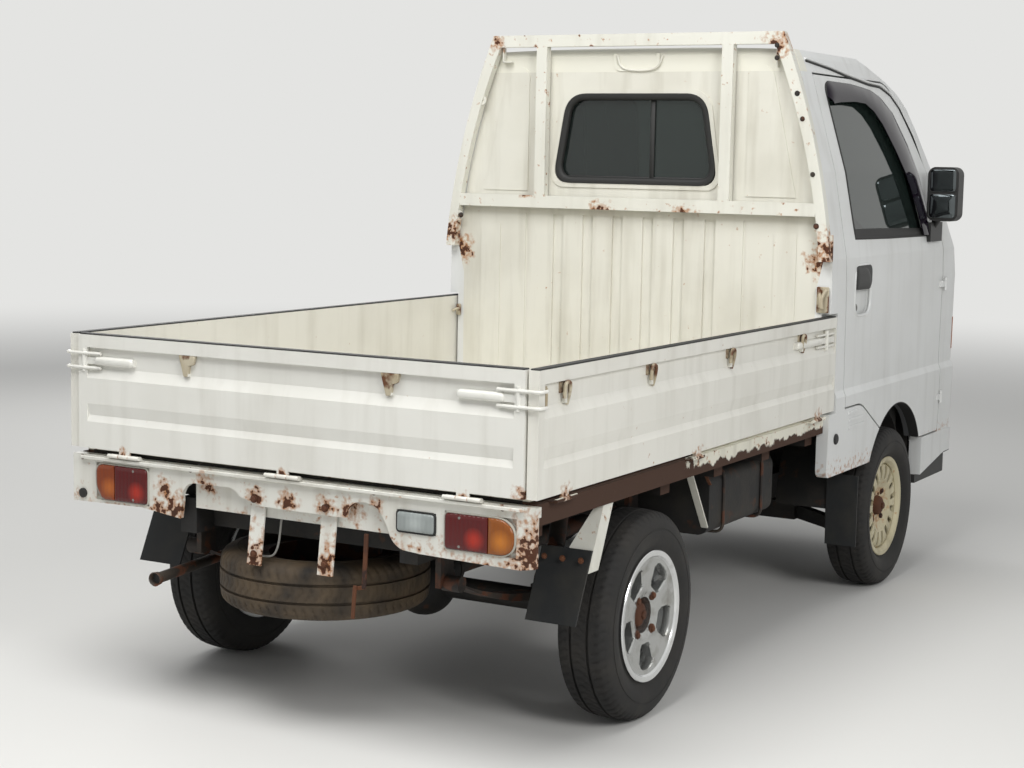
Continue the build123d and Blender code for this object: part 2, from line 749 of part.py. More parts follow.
# Crossmembers between the rails, columns: place, lower level, upper level
member_rows = [
    (rail_front_y + 40, rail_front_low_z + 8, rail_front_top_z - 8),
    (rail_front_y + 390, rail_front_low_z + 8, rail_front_top_z - 8),
    (rear_axle_y - 701, rail_rear_low_z + 10, rail_rear_top_z - 10),
    (rear_axle_y + 99, rail_rear_low_z + 10, rail_rear_top_z - 10),
    (rail_rear_y - 100, rail_rear_low_z + 10, rail_rear_top_z - 10),
]
member_half = 30.0
members = [block(-rail_inner_x, rail_inner_x, y - member_half, y + member_half, low, high)
           for y, low, high in member_rows]
tow_eye_radius = 14.0
tow_eye_thick = 16.0
tow_eye_y = -1575.0
tow_eye_z = 285.0
tow_eye_x = (rail_inner_x + rail_outer_x) / 2
eye_low_x = tow_eye_x - tow_eye_thick / 2
eye_high_x = tow_eye_x + tow_eye_thick / 2
eye_outer = 27.0
tow_eye = rod((eye_low_x, tow_eye_y, tow_eye_z), (eye_high_x, tow_eye_y, tow_eye_z), eye_outer)
tow_eye += block(eye_low_x, eye_high_x, tow_eye_y, rail_front_y + 10, tow_eye_z - tow_eye_thick,
                 tow_eye_z + eye_outer)
tow_eye -= rod((0, tow_eye_y, tow_eye_z), (wide, tow_eye_y, tow_eye_z), tow_eye_radius)
chassis = Compound([rail_left + tow_eye, across(rail_left)] + members)

# Front suspension: crossmember, its legs to the rails, and the lower arms
beam_half = 362.0
beam_low_z = 196.0
beam_high_z = 256.0
beam_width = 92.0
arm_width = 44.0
pad_top = 15.0             # along the steering axis from the ball joint
suspension = block(-beam_half, beam_half, front_axle_y - beam_width / 2, front_axle_y + beam_width / 2,
                   beam_low_z, beam_high_z)
suspension += both(block(rail_inner_x, rail_outer_x, front_axle_y - 40, front_axle_y + 40,
                         beam_high_z - 6, rail_front_low_z))
arm_profile = polygon(Plane.XZ, [(330, 204), (330, 250), (470, 216), (598, 158), (590, 134),
                                 (560, 132), (460, 176)])
arm = along_y(arm_profile, front_axle_y - arm_width / 2, front_axle_y + arm_width / 2)
pad_cut = rod(on_steer_axis(pad_top - seat_gap), on_steer_axis(pad_top + 105), 60)
arm_pad = rod(on_steer_axis(-pad_top), on_steer_axis(pad_top - seat_gap), 19)
suspension += both((arm + arm_pad) - pad_cut)

# Knuckle with its strut
rod_radius = 16.0
strut_radius = 20.0
strut_foot = 180.0
spindle_root_x = 534.0
carrier_x = 566.0
carrier_radius = 44.0
drum_radius = 88.0
drum_width = 20.0
spindle_end_x = wheel_plane_x + 26
knuckle = rod(on_steer_axis(pad_top), on_steer_axis(strut_foot + 10), rod_radius)
knuckle += rod(on_steer_axis(strut_foot), on_steer_axis(strut_length), strut_radius)
knuckle += rod((spindle_root_x, front_axle_y, axle_z), (spindle_end_x, front_axle_y, axle_z),
               spindle_radius)
knuckle += rod((spindle_root_x, front_axle_y, axle_z), (carrier_x, front_axle_y, axle_z),
               carrier_radius)
knuckle += rod((carrier_x, front_axle_y, axle_z), (carrier_x + drum_width, front_axle_y, axle_z),
               drum_radius)
# steering arm, back from the carrier
knuckle += block(spindle_root_x - 2, spindle_root_x + 18, front_axle_y, front_axle_y + 128,
                 axle_z - 52, axle_z - 36)
knuckle_left = knuckle
knuckle_right = across(knuckle)


def ring_profile(points):
    """Face beside the X axis: each point is a place along the axle and a radius."""
    return polygon(Plane.XY, points)


def tyre(bead):
    """Tyre about the X axis: straight bead, bulged sidewalls and a flat tread."""
    side = tyre_width / 2
    side_radius = 214.0
    shoulder_radius = tyre_radius - 5
    shoulder_half = 50.0
    bead_top = flange_radius + 2
    face = closed(Plane.XY, (-bead, bead_radius), [
        ((-bead, bead_top),),
        ((-(side + bead) / 2 - 3, bead_top + 14), (-side, side_radius)),
        ((-side + 6, shoulder_radius - 18), (-shoulder_half, shoulder_radius)),
        ((0, tyre_radius), (shoulder_half, shoulder_radius)),
        ((side - 6, shoulder_radius - 18), (side, side_radius)),
        (((side + bead) / 2 + 3, bead_top + 14), (bead, bead_top)),
        ((bead, bead_radius),),
        ((-bead, bead_radius),),
    ])
    return revolve(face, Axis.X)


barrel_outer = bead_radius - rim_gap
barrel_inner = barrel_outer - barrel_thick
spindle_bore = spindle_radius + seat_gap


def barrel(bead):
    """Rim barrel with a flange at each side."""
    inside = bead + rim_gap
    outside = inside + flange_thick
    return revolve(ring_profile([
        (-outside, barrel_inner), (-outside, flange_radius), (-inside, flange_radius),
        (-inside, barrel_outer), (inside, barrel_outer), (inside, flange_radius),
        (outside, flange_radius), (outside, barrel_inner),
    ]), Axis.X)


hub_low_x = -12.0
hub_high_x = 26.0


def hub():
    """Hub boss with the spindle's bore."""
    return revolve(ring_profile([(hub_low_x, spindle_bore), (hub_low_x, hub_radius),
                                 (hub_high_x, hub_radius), (hub_high_x, spindle_bore)]), Axis.X)


def steel_rim():
    """Pressed steel wheel: a dished disc with a ring of radial slots."""
    slot_count = 16
    slot_radius = 115.0
    slot_width = 11.0
    slot_length = 38.0
    disc = revolve(ring_profile([
        (28, barrel_inner + 1), (34, barrel_inner + 1), (46, 138), (46, 92), (30, 74), (24, 60),
        (24, spindle_bore), (18, spindle_bore), (18, 62), (24, 78), (40, 95), (40, 135),
    ]), Axis.X)
    for number in range(slot_count):
        turn = Rot(360 / slot_count * number, 0, 0)
        disc -= turn * Pos(40, 0, slot_radius) * Box(60, slot_width, slot_length)
    return barrel(bead_half) + hub() + disc


def alloy_rim():
    """Cast alloy wheel: a thick disc with five wide windows that reach out to the barrel."""
    window_count = 5
    disc = revolve(ring_profile([
        (34, barrel_inner + 1), (56, barrel_inner + 1), (60, 130), (52, 70), (44, 40),
        (44, spindle_bore), (14, spindle_bore), (14, 60), (36, 120),
    ]), Axis.X)
    window = extrude(Plane.YZ * make_face([
        ThreePointArc((-48, 124), (0, 133), (48, 124)),
        Line((48, 124), (22, 76)),
        ThreePointArc((22, 76), (0, 70), (-22, 76)),
        Line((-22, 76), (-48, 124)),
    ]), amount=120, dir=(1, 0, 0))
    for number in range(window_count):
        disc -= Rot(360 / window_count * (number + 0.5), 0, 0) * window
    return barrel(rear_bead_half) + hub() + disc


front_wheel = (tyre(bead_half), steel_rim())
rear_wheel = (tyre(rear_bead_half), alloy_rim())

# Rear axle, its springs and their hangers
axle_end_x = 560.0
axle_tube_radius = 30.0
rear_axle = rod((-axle_end_x, rear_axle_y, axle_z), (axle_end_x, rear_axle_y, axle_z), axle_tube_radius)
rear_drum_low_x = 540.0
rear_drum_high_x = 588.0
rear_drum_radius = 108.0
diff_radius = 88.0
rear_axle += both(rod((rear_drum_low_x, rear_axle_y, axle_z), (rear_drum_high_x, rear_axle_y, axle_z),
                      rear_drum_radius))
rear_axle += both(rod((axle_end_x, rear_axle_y, axle_z), (spindle_end_x, rear_axle_y, axle_z),
                      spindle_radius))
rear_axle += Pos(0, rear_axle_y, axle_z) * Sphere(diff_radius)
diff_nose_y = rear_axle_y - 121.0
shaft_z = 290.0
rear_axle += rod((0, diff_nose_y, shaft_z), (0, rear_axle_y, shaft_z), 44)
spring_inner_x = 362.0
spring_outer_x = 412.0
spring_front_y = rear_axle_y - 531.0
spring_rear_y = rear_axle_y + 489.0
spring_eye_z = 410.0
spring_low_z = axle_z + 44
leaf_total = 22.0
spring_profile = closed(Plane.YZ, (spring_front_y, spring_eye_z), [
    ((rear_axle_y, spring_low_z), (spring_rear_y, spring_eye_z)),
    ((spring_rear_y - 10, spring_eye_z - 7),),
    ((rear_axle_y, spring_low_z - leaf_total), (spring_front_y + 10, spring_eye_z - 7)),
    ((spring_front_y, spring_eye_z),),
])
springs = along_x(spring_profile, spring_inner_x, spring_outer_x)
for y in (spring_front_y, spring_rear_y):
    springs += rod((spring_inner_x, y, spring_eye_z), (spring_outer_x, y, spring_eye_z), 20)
    springs += block(rail_outer_x, spring_inner_x + 8, y - 30, y + 30, spring_eye_z - 10,
                     rail_rear_top_z - 10)
springs += block(spring_inner_x - 4, spring_outer_x + 4, rear_axle_y - 50, rear_axle_y + 50,
                 axle_z + 10, spring_low_z + 8)
springs -= rod((0, rear_axle_y, axle_z), (wide, rear_axle_y, axle_z), axle_tube_radius)
rear_springs = Compound([springs, across(springs)])

# Engine with its gearbox, and the shaft to the rear axle
engine_rear_y = -500.0
gearbox_rear_y = -110.0
engine_front_y = -1030.0
engine_half = 270.0
engine_low_z = 276.0
engine_high_z = 636.0
gearbox_half = 140.0
gearbox_low_z = 262.0
gearbox_high_z = 470.0
shaft_radius = 27.0
joint_radius = 46.0
joint_width = 16.0
engine = block(-engine_half, engine_half, engine_front_y, engine_rear_y, engine_low_z, engine_high_z)
engine += block(-gearbox_half, gearbox_half, engine_rear_y, gearbox_rear_y, gearbox_low_z,
                gearbox_high_z)
shaft = rod((0, gearbox_rear_y + seat_gap, shaft_z), (0, diff_nose_y - seat_gap, shaft_z), shaft_radius)
for y in (gearbox_rear_y + seat_gap, diff_nose_y - seat_gap - joint_width):
    shaft += rod((0, y, shaft_z), (0, y + joint_width, shaft_z), joint_radius)

# Fuel tank on the right of the chassis
tank_rear_y = spring_front_y - 45.0
tank_length = 475.0
tank_outer_x = 585.0
tank_low_z = 372.0
tank_high_z = 552.0
tank_corner = 36.0
tank = block(-tank_outer_x, -rail_outer_x - seat_gap, tank_rear_y - tank_length, tank_rear_y,
             tank_low_z, tank_high_z)
tank = fillet(tank.edges().filter_by(Axis.Y), tank_corner)

# Exhaust on the left
pipe_radius = 14.0
muffler_front_y = spring_front_y - 320.0
muffler_rear_y = spring_front_y + 170.0
muffler_x = 492.0
muffler_z = 372.0
muffler_radius = 66.0
muffler = rod((muffler_x, muffler_front_y, muffler_z), (muffler_x, muffler_rear_y, muffler_z),
              muffler_radius)


def pipe(points, bend):
    """Bent pipe through its corner points."""
    path = FilletPolyline(*points, radius=bend)
    start = Plane(origin=path @ 0, z_dir=path % 0)
    return sweep(start * Circle(pipe_radius), path=path)


pipe_bend = 60.0
front_pipe_x = 200.0
front_pipe_z = 350.0
exhaust = muffler + pipe([
    (front_pipe_x, engine_rear_y + seat_gap, front_pipe_z),
    (front_pipe_x, muffler_front_y - 180, front_pipe_z),
    (muffler_x, muffler_front_y - 100, muffler_z),
    (muffler_x, muffler_front_y + 10, muffler_z)], pipe_bend)
tail_pipe_x = 440.0
tail_pipe_end_x = 416.0
exhaust += pipe([
    (muffler_x, muffler_rear_y - 10, muffler_z), (tail_pipe_x, muffler_rear_y + 130, 362),
    (tail_pipe_x, rear_axle_y + 250, 354), (tail_pipe_end_x, tail_face_y - 20, 344)], pipe_bend)

# Bed
deck_low_z = bed_top_z - rib_height - bed_plate
deck_high_z = bed_top_z - rib_height
deck = block(-bed_half, bed_half, bed_front_y, bed_rear_y, deck_low_z, deck_high_z)
rib_end = 40.0
for number in range(rib_count):
    middle = (number - (rib_count - 1) / 2) * rib_pitch
    deck += block(middle - rib_width / 2, middle + rib_width / 2, bed_front_y + rib_end,
                  bed_rear_y - rib_end, deck_high_z, bed_top_z)
sill_inner_x = sill_outer_x - sill_width
sill = block(sill_inner_x, sill_outer_x, bed_front_y, bed_rear_y, sill_low_z, deck_low_z)
bearers = []
first_bearer_y = bed_front_y + bearer_width / 2
last_bearer_y = bed_rear_y - bearer_inset
for number in range(bearer_count):
    y = first_bearer_y + number * (last_bearer_y - first_bearer_y) / (bearer_count - 1)
    bearers.append(block(-sill_inner_x, sill_inner_x, y - bearer_width / 2, y + bearer_width / 2,
                         rail_rear_top_z, deck_low_z))

# Rear panel, its lamps, and the stays under it
panel_outline = closed(Plane.XZ, (-panel_half, 506), [
    ((-648, 499),),
    ((-380, 505),),
    ((-332, 509),),
    ((-303, 528), (-290, 556),),
    ((-266, 596),),
    ((-236, 609), (-205, 609)),
    ((-182, 598), (-168, 567)),
    ((78, 568),),
    ((145, 585),),
    ((165, 601), (194, 605)),
    ((286, 604),),
    ((318, 590), (328, 556)),
    ((334, 510),),
    ((458, 525),),
    ((panel_half, 520),),
    ((panel_half, panel_top_z),),
    ((-panel_half, panel_top_z),),
    ((-panel_half, 506),),
])
ledge_low_z = 622.0
rear_panel = along_y(panel_outline, panel_face_y - panel_thick, panel_face_y)
rear_panel += block(-panel_half, panel_half, bed_rear_y, panel_face_y, ledge_low_z, panel_top_z)
# A flat member behind the panel carries the two stays that hold the spare wheel
member_face_y = bed_rear_y + 2
stay_low_y = tail_face_y - 6
stay_low_z = 420.0
stay_thick = 5.0
rear_panel += block(-300, 300, member_face_y - 10, member_face_y, 538, panel_top_z)
stay_side = polygon(Plane.YZ, [
    (member_face_y - 2, 602), (member_face_y + stay_thick - 2, 602), (stay_low_y, stay_low_z),
    (stay_low_y - stay_thick, stay_low_z)])
# columns: place across, width
for stay_x, stay_width in [(100.0, 42.0), (-112.0, 44.0)]:
    rear_panel += along_x(stay_side, stay_x - stay_width / 2, stay_x + stay_width / 2)

# columns: inner and outer side, lower and upper edge
tail_lamp_rows = [(435, 607, 532, 626), (-635, -448, 527, 614), (-421, -317, 554, 603)]
tail_lamp_depth = 9.0
tail_lamp_rim = 2.0
tail_lamps = Part()
for x_low, x_high, z_low, z_high in tail_lamp_rows:
    tail_lamps += block(x_low, x_high, panel_face_y - tail_lamp_depth, panel_face_y + lens_thick,
                        z_low, z_high)
    rear_panel -= block(x_low - tail_lamp_rim, x_high + tail_lamp_rim, panel_face_y - tail_lamp_depth,
                        panel_face_y + 1, z_low - tail_lamp_rim, z_high + tail_lamp_rim)

# Gates


def recess_profile(plane):
    """Pressings of a gate's outer face: distance from the face against height."""
    sunk_band = polygon(plane, [
        (1, rail_low_z), (-band_depth, rail_low_z), (-band_depth, band_slope_z), (0, band_low_z),
        (1, band_low_z)])
    crease = polygon(plane, [
        (1, crease_start_z), (0, crease_start_z), (-crease_depth, crease_top_z), (0, crease_low_z),
        (1, crease_low_z)])
    return sunk_band, crease


side_gate = block(gate_outer_x - gate_thick, gate_outer_x, gate_front_y, gate_rear_y, gate_low_z,
                  gate_top_z)
for face in recess_profile(Plane.XZ):
    side_gate -= along_y(Pos(gate_outer_x, 0, 0) * face, gate_front_y + 8,
                         gate_rear_y - gate_end_strip)
tail_half = gate_outer_x - gate_thick - gate_gap
tailgate = block(-tail_half, tail_half, tail_face_y - gate_thick, tail_face_y, gate_low_z,
                 gate_top_z)
for face in recess_profile(Plane.YZ):
    tailgate -= along_x(Pos(0, tail_face_y, 0) * face, -tail_half + gate_end_strip,
                        tail_half - gate_end_strip)

# Gate hinges: on the gate a barrel under its edge, on the bed two barrels round the same pin
side_hinge_x = gate_outer_x + gate_hinge_out
tail_hinge_y = tail_face_y + gate_hinge_out
side_hinge_ys = [gate_front_y + 138.0, rear_axle_y - 253.0, tail_face_y - 142.0]
tail_hinge_xs = [-499.0, 10.0, 507.0]
bed_hinges = Part()
for y in side_hinge_ys:
    line = [(side_hinge_x, y + offset, gate_hinge_z)
            for offset in (-gate_barrel * 1.5, -gate_barrel / 2, gate_barrel / 2,
                           gate_barrel * 1.5)]
    barrel_piece = rod(line[1], line[2], gate_barrel_radius)
    barrel_piece += block(gate_outer_x - 6, gate_outer_x, y - gate_barrel / 2,
                          y + gate_barrel / 2, gate_hinge_z, gate_low_z)
    side_gate += barrel_piece - rod(line[0], line[3], gate_pin_radius + seat_gap)
    bed_hinges += rod(line[0], line[3], gate_pin_radius)
    for near, far in ((0, 1), (2, 3)):
        low_y = line[near][1] + (seat_gap if near == 2 else 0)
        high_y = line[far][1] - (seat_gap if near == 0 else 0)
        bed_hinges += rod((side_hinge_x, low_y, gate_hinge_z), (side_hinge_x, high_y, gate_hinge_z),
                          gate_barrel_radius)
        bed_hinges += block(sill_outer_x - 4, side_hinge_x, low_y, high_y, gate_hinge_z - 5,
                            gate_hinge_z - 1)
left_sill = sill + bed_hinges
bed = Compound([deck, left_sill, across(left_sill)] + bearers)
panel_hinges = Part()
for x in tail_hinge_xs:
    line = [(x + offset, tail_hinge_y, gate_hinge_z)
            for offset in (-gate_barrel * 1.5, -gate_barrel / 2, gate_barrel / 2,
                           gate_barrel * 1.5)]
    barrel_piece = rod(line[1], line[2], gate_barrel_radius)
    barrel_piece += block(x - gate_barrel / 2, x + gate_barrel / 2, tail_face_y - 6, tail_face_y,
                          gate_hinge_z, gate_low_z)
    tailgate += barrel_piece - rod(line[0], line[3], gate_pin_radius + seat_gap)
    panel_hinges += rod(line[0], line[3], gate_pin_radius)
    for near, far in ((0, 1), (2, 3)):
        low_x = line[near][0] + (seat_gap if near == 2 else 0)
        high_x = line[far][0] - (seat_gap if near == 0 else 0)
        panel_hinges += rod((low_x, tail_hinge_y, gate_hinge_z), (high_x, tail_hinge_y, gate_hinge_z),
                            gate_barrel_radius)
        panel_hinges += block(low_x, high_x, panel_face_y - 4, tail_hinge_y, gate_hinge_z - 5,
                              gate_hinge_z - 1)
rear_panel += panel_hinges

# Latches and rope hooks on the gates
lever_low_z = 882.0
lever_high_z = 900.0
lever_length = 180.0
lever_thick = 9.0
hook_low_z = 872.0
hook_high_z = 914.0
hook_width = 9.0
side_hook_ys = [side_hinge_ys[0] + 148, rear_axle_y - 460, rear_axle_y + 42, tail_face_y - 138]
tail_hook_xs = [-296.0, 305.0]
side_gate += block(gate_outer_x - band_depth - 1, gate_outer_x - band_depth + lever_thick,
                   gate_front_y + 14, gate_front_y + 334, lever_low_z, lever_high_z)
for y in side_hook_ys:
    side_gate += block(gate_outer_x - band_depth - 1, gate_outer_x - 1, y - hook_width / 2,
                       y + hook_width / 2, hook_low_z, hook_high_z)
tailgate += both(block(tail_half - lever_length, tail_half - 2, tail_face_y - band_depth - 1,
                       tail_face_y - band_depth + lever_thick, lever_low_z, lever_high_z))
for x in tail_hook_xs:
    tailgate += block(x - hook_width / 2, x + hook_width / 2, tail_face_y - band_depth - 1,
                      tail_face_y - 1, hook_low_z, hook_high_z)
side_gate_left = side_gate
side_gate_right = across(side_gate)

# Guard frame
guard_front_y = guard_rear_y - guard_depth
guard = block(-guard_top_half, guard_top_half, guard_front_y, guard_rear_y, guard_top_z - guard_bar,
              guard_top_z)
# Each post bows outward along the cab's corner
post_inner_z = guard_top_z - guard_bar / 2
post = along_y(closed(Plane.XZ, (guard_top_half, guard_top_z), [
    ((guard_middle_half, guard_middle_z), (guard_foot_half, guard_foot_z)),
    ((guard_foot_half - guard_post, guard_foot_z),),
    ((guard_middle_half - guard_post, guard_middle_z), (guard_top_half - guard_post, post_inner_z)),
    ((guard_top_half - guard_post, guard_top_z),),
    ((guard_top_half, guard_top_z),),
]), guard_front_y, guard_rear_y)
foot_plate = block(guard_foot_half - guard_post, guard_foot_half - 1, cab_rear_y, guard_front_y + 1,
                   guard_foot_z, guard_foot_z + guard_foot_plate)
guard += both(post + foot_plate)
cross_half = guard_middle_half
guard += block(-cross_half, cross_half, guard_front_y, guard_rear_y,
               guard_cross_top_z - guard_cross, guard_cross_top_z)
guard += both(block(guard_upright_x - guard_upright / 2, guard_upright_x + guard_upright / 2,
                    guard_front_y, guard_rear_y, guard_cross_top_z, guard_top_z - guard_bar))
guard += both(block(guard_plate_x, guard_plate_x + guard_plate_width, cab_rear_y, guard_front_y + 1,
                    guard_cross_top_z - guard_cross + 6, guard_cross_top_z - 6))

# Spare wheel under the rear of the bed, on its carrier
spare_x = 80.0
spare_y = rear_axle_y + 354.0
spare_z = 355.0
carrier_bar_z = 482.0
carrier_bar = 18.0
carrier_bolt_radius = 14.0
spare_tyre = Pos(spare_x, spare_y, spare_z) * Rot(0, 90, 0) * tyre(bead_half)
spare_rim = Pos(spare_x, spare_y, spare_z) * Rot(0, 90, 0) * barrel(bead_half)
spare_disc = Pos(spare_x, spare_y, spare_z) * Cylinder(barrel_outer - 1, 8)
carrier = spare_rim + spare_disc
carrier += rod((spare_x, spare_y, spare_z), (spare_x, spare_y, carrier_bar_z), carrier_bolt_radius)
carrier += block(-rail_inner_x, rail_inner_x, spare_y - 20, spare_y + 20, carrier_bar_z,
                 carrier_bar_z + carrier_bar)

# Mud flaps behind the front wheels, on hangers under the cab floor
flap_y = front_axle_y + house_radius + house_wall + seat_gap
flap_thick = 6.0
flap_inner_x = 578.0
flap_outer_x = 684.0
flap_low_z = 185.0
flap_top_z = 420.0
hanger_top_z = 620.0
hanger_width = 40.0
flaps = both(block(flap_inner_x, flap_outer_x, flap_y, flap_y + flap_thick, flap_low_z, flap_top_z)
             + block(flap_inner_x, flap_inner_x + hanger_width, flap_y, flap_y + flap_thick, flap_top_z,
                     hanger_top_z))

# The rear flaps lean back, with a pressed bracket under each sill that carries them
lean = 0.466               # rearward for each unit down
bracket_top_y = rear_axle_y + 258.0
bracket_thick = 3.5
bracket_outer_x = 670.0
bracket_low_z = 440.0
bracket_depth = 52.0
rear_flap_inner_x = 532.0
rear_flap_outer_x = 669.0
rear_flap_low_z = 322.0
rear_flap_high_z = 492.0


def leaning_y(z):
    """Rear face of the rear flap's bracket at a level."""
    return bracket_top_y + (sill_low_z - z) * lean


def leaning(z_low, z_high, y_offset, thick):
    """Side view of a plate that leans back with the bracket, that far behind its rear face."""
    return polygon(Plane.YZ, [
        (leaning_y(z_high) + y_offset, z_high), (leaning_y(z_low) + y_offset, z_low),
        (leaning_y(z_low) + y_offset + thick, z_low), (leaning_y(z_high) + y_offset + thick, z_high)])


gusset_outline = polygon(Plane.XZ, [
    (bracket_outer_x, sill_low_z), (bracket_outer_x - 20, sill_low_z),
    (bracket_outer_x - 66, 494), (bracket_outer_x - 62, 484), (bracket_outer_x - 26, 478),
    (bracket_outer_x - 28, bracket_low_z), (bracket_outer_x, bracket_low_z)])
gusset = along_x(leaning(bracket_low_z, sill_low_z, -bracket_thick, bracket_thick), 0, wide)
gusset &= along_y(gusset_outline, 0, tail_face_y)
flange = along_x(leaning(bracket_low_z, sill_low_z, -bracket_depth, bracket_depth),
                 bracket_outer_x - bracket_thick, bracket_outer_x)
brackets = both(gusset + flange)
rear_flap = along_x(leaning(rear_flap_low_z, rear_flap_high_z, seat_gap, flap_thick),
                    rear_flap_inner_x, rear_flap_outer_x)
flaps += both(rear_flap)

nodes = {
    "roof": roof,
    "cab_front": cab_front,
    "cab_back_wall": back_wall,
    "cab_side_left": cab_side,
    "cab_side_right": across(cab_side),
    "cab_floor": cab_floor,
    "windscreen": windscreen,
    "rear_window": rear_window,
    "front_bumper": bumper,
    "front_lamps": both(headlamp + turn_lamp),
    "dashboard": dashboard,
    "steering_wheel": steering_wheel,
    "seat_left": seat_left,
    "seat_right": seat_right,
    "chassis_frame": chassis,
    "front_suspension": suspension,
    "rear_axle": rear_axle,
    "rear_springs": rear_springs,
    "engine_block": engine,
    "propeller_shaft": shaft,
    "fuel_tank": tank,
    "exhaust": exhaust,
    "bed": bed,
    "rear_panel": rear_panel,
    "tail_lamps": tail_lamps,
    "guard_frame": guard,
    "spare_tyre": spare_tyre,
    "spare_carrier": carrier,
    "mud_flaps": flaps,
    "flap_brackets": brackets,
    "door_left": door,
    "door_right": across(door),
    "door_glass_left": door_glass,
    "door_glass_right": across(door_glass),
    "door_fittings_left": door_fittings,
    "door_fittings_right": across(door_fittings),
    "tailgate": tailgate,
    "side_gate_left": side_gate_left,
    "side_gate_right": side_gate_right,
    "knuckle_left": knuckle_left,
    "knuckle_right": knuckle_right,
}
for end, y, (tyre_solid, rim_solid) in (("front", front_axle_y, front_wheel),
                                        ("rear", rear_axle_y, rear_wheel)):
    left_tyre = Pos(wheel_plane_x, y, axle_z) * tyre_solid
    left_rim = Pos(wheel_plane_x, y, axle_z) * rim_solid
    nodes[f"tyre_{end}_left"] = left_tyre
    nodes[f"tyre_{end}_right"] = across(left_tyre)
    nodes[f"rim_{end}_left"] = left_rim
    nodes[f"rim_{end}_right"] = across(left_rim)

os.makedirs("parts", exist_ok=True)
for name, shape in nodes.items():
    export_step(shape, f"parts/{name}.step")
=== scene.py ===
import math

import bmesh
import bpy
import numpy as np
from mathutils import Matrix, Vector


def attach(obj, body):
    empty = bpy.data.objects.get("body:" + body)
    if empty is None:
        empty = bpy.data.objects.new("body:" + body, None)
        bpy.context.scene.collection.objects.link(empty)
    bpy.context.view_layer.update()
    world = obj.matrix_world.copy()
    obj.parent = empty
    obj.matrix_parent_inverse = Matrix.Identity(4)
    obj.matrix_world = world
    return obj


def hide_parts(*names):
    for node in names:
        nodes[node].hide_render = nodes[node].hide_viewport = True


# A kei truck with a drop-side bed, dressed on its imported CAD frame, in metres.
# +X is the truck's left, +Y its rear and +Z up. The sections follow the truck as it is built.
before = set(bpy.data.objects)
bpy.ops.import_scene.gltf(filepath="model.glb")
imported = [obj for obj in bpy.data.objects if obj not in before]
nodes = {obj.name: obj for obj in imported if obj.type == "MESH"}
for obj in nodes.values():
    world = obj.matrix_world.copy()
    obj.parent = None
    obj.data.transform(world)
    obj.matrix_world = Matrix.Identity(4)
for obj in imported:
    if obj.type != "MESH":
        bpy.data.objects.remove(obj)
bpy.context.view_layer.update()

# The view
# A view of the right rear corner from 5.9 m away and 1.42 m up, looking forward and a little
# down. The lens is 66 mm on a 36 mm sensor, and the horizon leans 1.1 degrees.
view_heading = math.radians(150.5087)
view_pitch = math.radians(-6.7657)
view_roll = math.radians(1.1073)
view_place = (-2.6872, 5.2888, 1.4211)
lens_length = 66.33
sensor_width = 36.0
ahead = Vector((math.sin(view_heading) * math.cos(view_pitch),
                math.cos(view_heading) * math.cos(view_pitch), math.sin(view_pitch)))
level = ahead.cross(Vector((0, 0, 1))).normalized()
upright = level.cross(ahead)
right_hand = level * math.cos(view_roll) + upright * math.sin(view_roll)
overhead = upright * math.cos(view_roll) - level * math.sin(view_roll)
camera_data = bpy.data.cameras.new("view")
camera_data.sensor_width = sensor_width
camera_data.lens = lens_length
camera_data.clip_end = 100.0
camera = bpy.data.objects.new("view", camera_data)
bpy.context.scene.collection.objects.link(camera)
camera.matrix_world = Matrix((
    (right_hand.x, overhead.x, -ahead.x, view_place[0]),
    (right_hand.y, overhead.y, -ahead.y, view_place[1]),
    (right_hand.z, overhead.z, -ahead.z, view_place[2]),
    (0, 0, 0, 1),
))
bpy.context.scene.camera = camera
bpy.context.scene.view_settings.view_transform = "Standard"

# Floor, backdrop and light
# A pale matt studio floor that fades into a pale surround, and three soft boxes. None of it
# belongs to the truck.


def colour(code):
    """Linear colour from an sRGB hex code: each channel undoes the sRGB curve."""
    channels = [int(code[start:start + 2], 16) / 255 for start in (0, 2, 4)]
    flat = [c / 12.92 if c <= 0.04045 else ((c + 0.055) / 1.055) ** 2.4 for c in channels]
    return (*flat, 1.0)


def add(tree, kind, settings=None, inputs=None):
    """Adds one node. Settings are its properties; inputs are its sockets, each given a value
    or another node's output to link from."""
    made = tree.nodes.new(kind)
    for name, value in (settings or {}).items():
        setattr(made, name, value)
    for key, value in (inputs or {}).items():
        if isinstance(value, bpy.types.NodeSocket):
            tree.links.new(value, made.inputs[key])
        else:
            made.inputs[key].default_value = value
    return made


backdrop_code = "E4E4E2"
fade_start = 5.0
fade_end = 13.0
floor_half = 40.0
floor_mesh = bpy.data.meshes.new("floor")
floor_mesh.from_pydata([(-floor_half, -floor_half, 0), (floor_half, -floor_half, 0),
                        (floor_half, floor_half, 0), (-floor_half, floor_half, 0)], [], [(0, 1, 2, 3)])
floor = bpy.data.objects.new("floor", floor_mesh)
bpy.context.scene.collection.objects.link(floor)


def seen_directly(tree):
    """1 for rays that show the background: from the camera, or by way of glass or gloss."""
    path = add(tree, "ShaderNodeLightPath")
    share = path.outputs["Is Camera Ray"]
    for kind in ("Is Transmission Ray", "Is Glossy Ray"):
        share = add(tree, "ShaderNodeMath", {"operation": "MAXIMUM"},
                    {0: share, 1: path.outputs[kind]}).outputs[0]
    return share


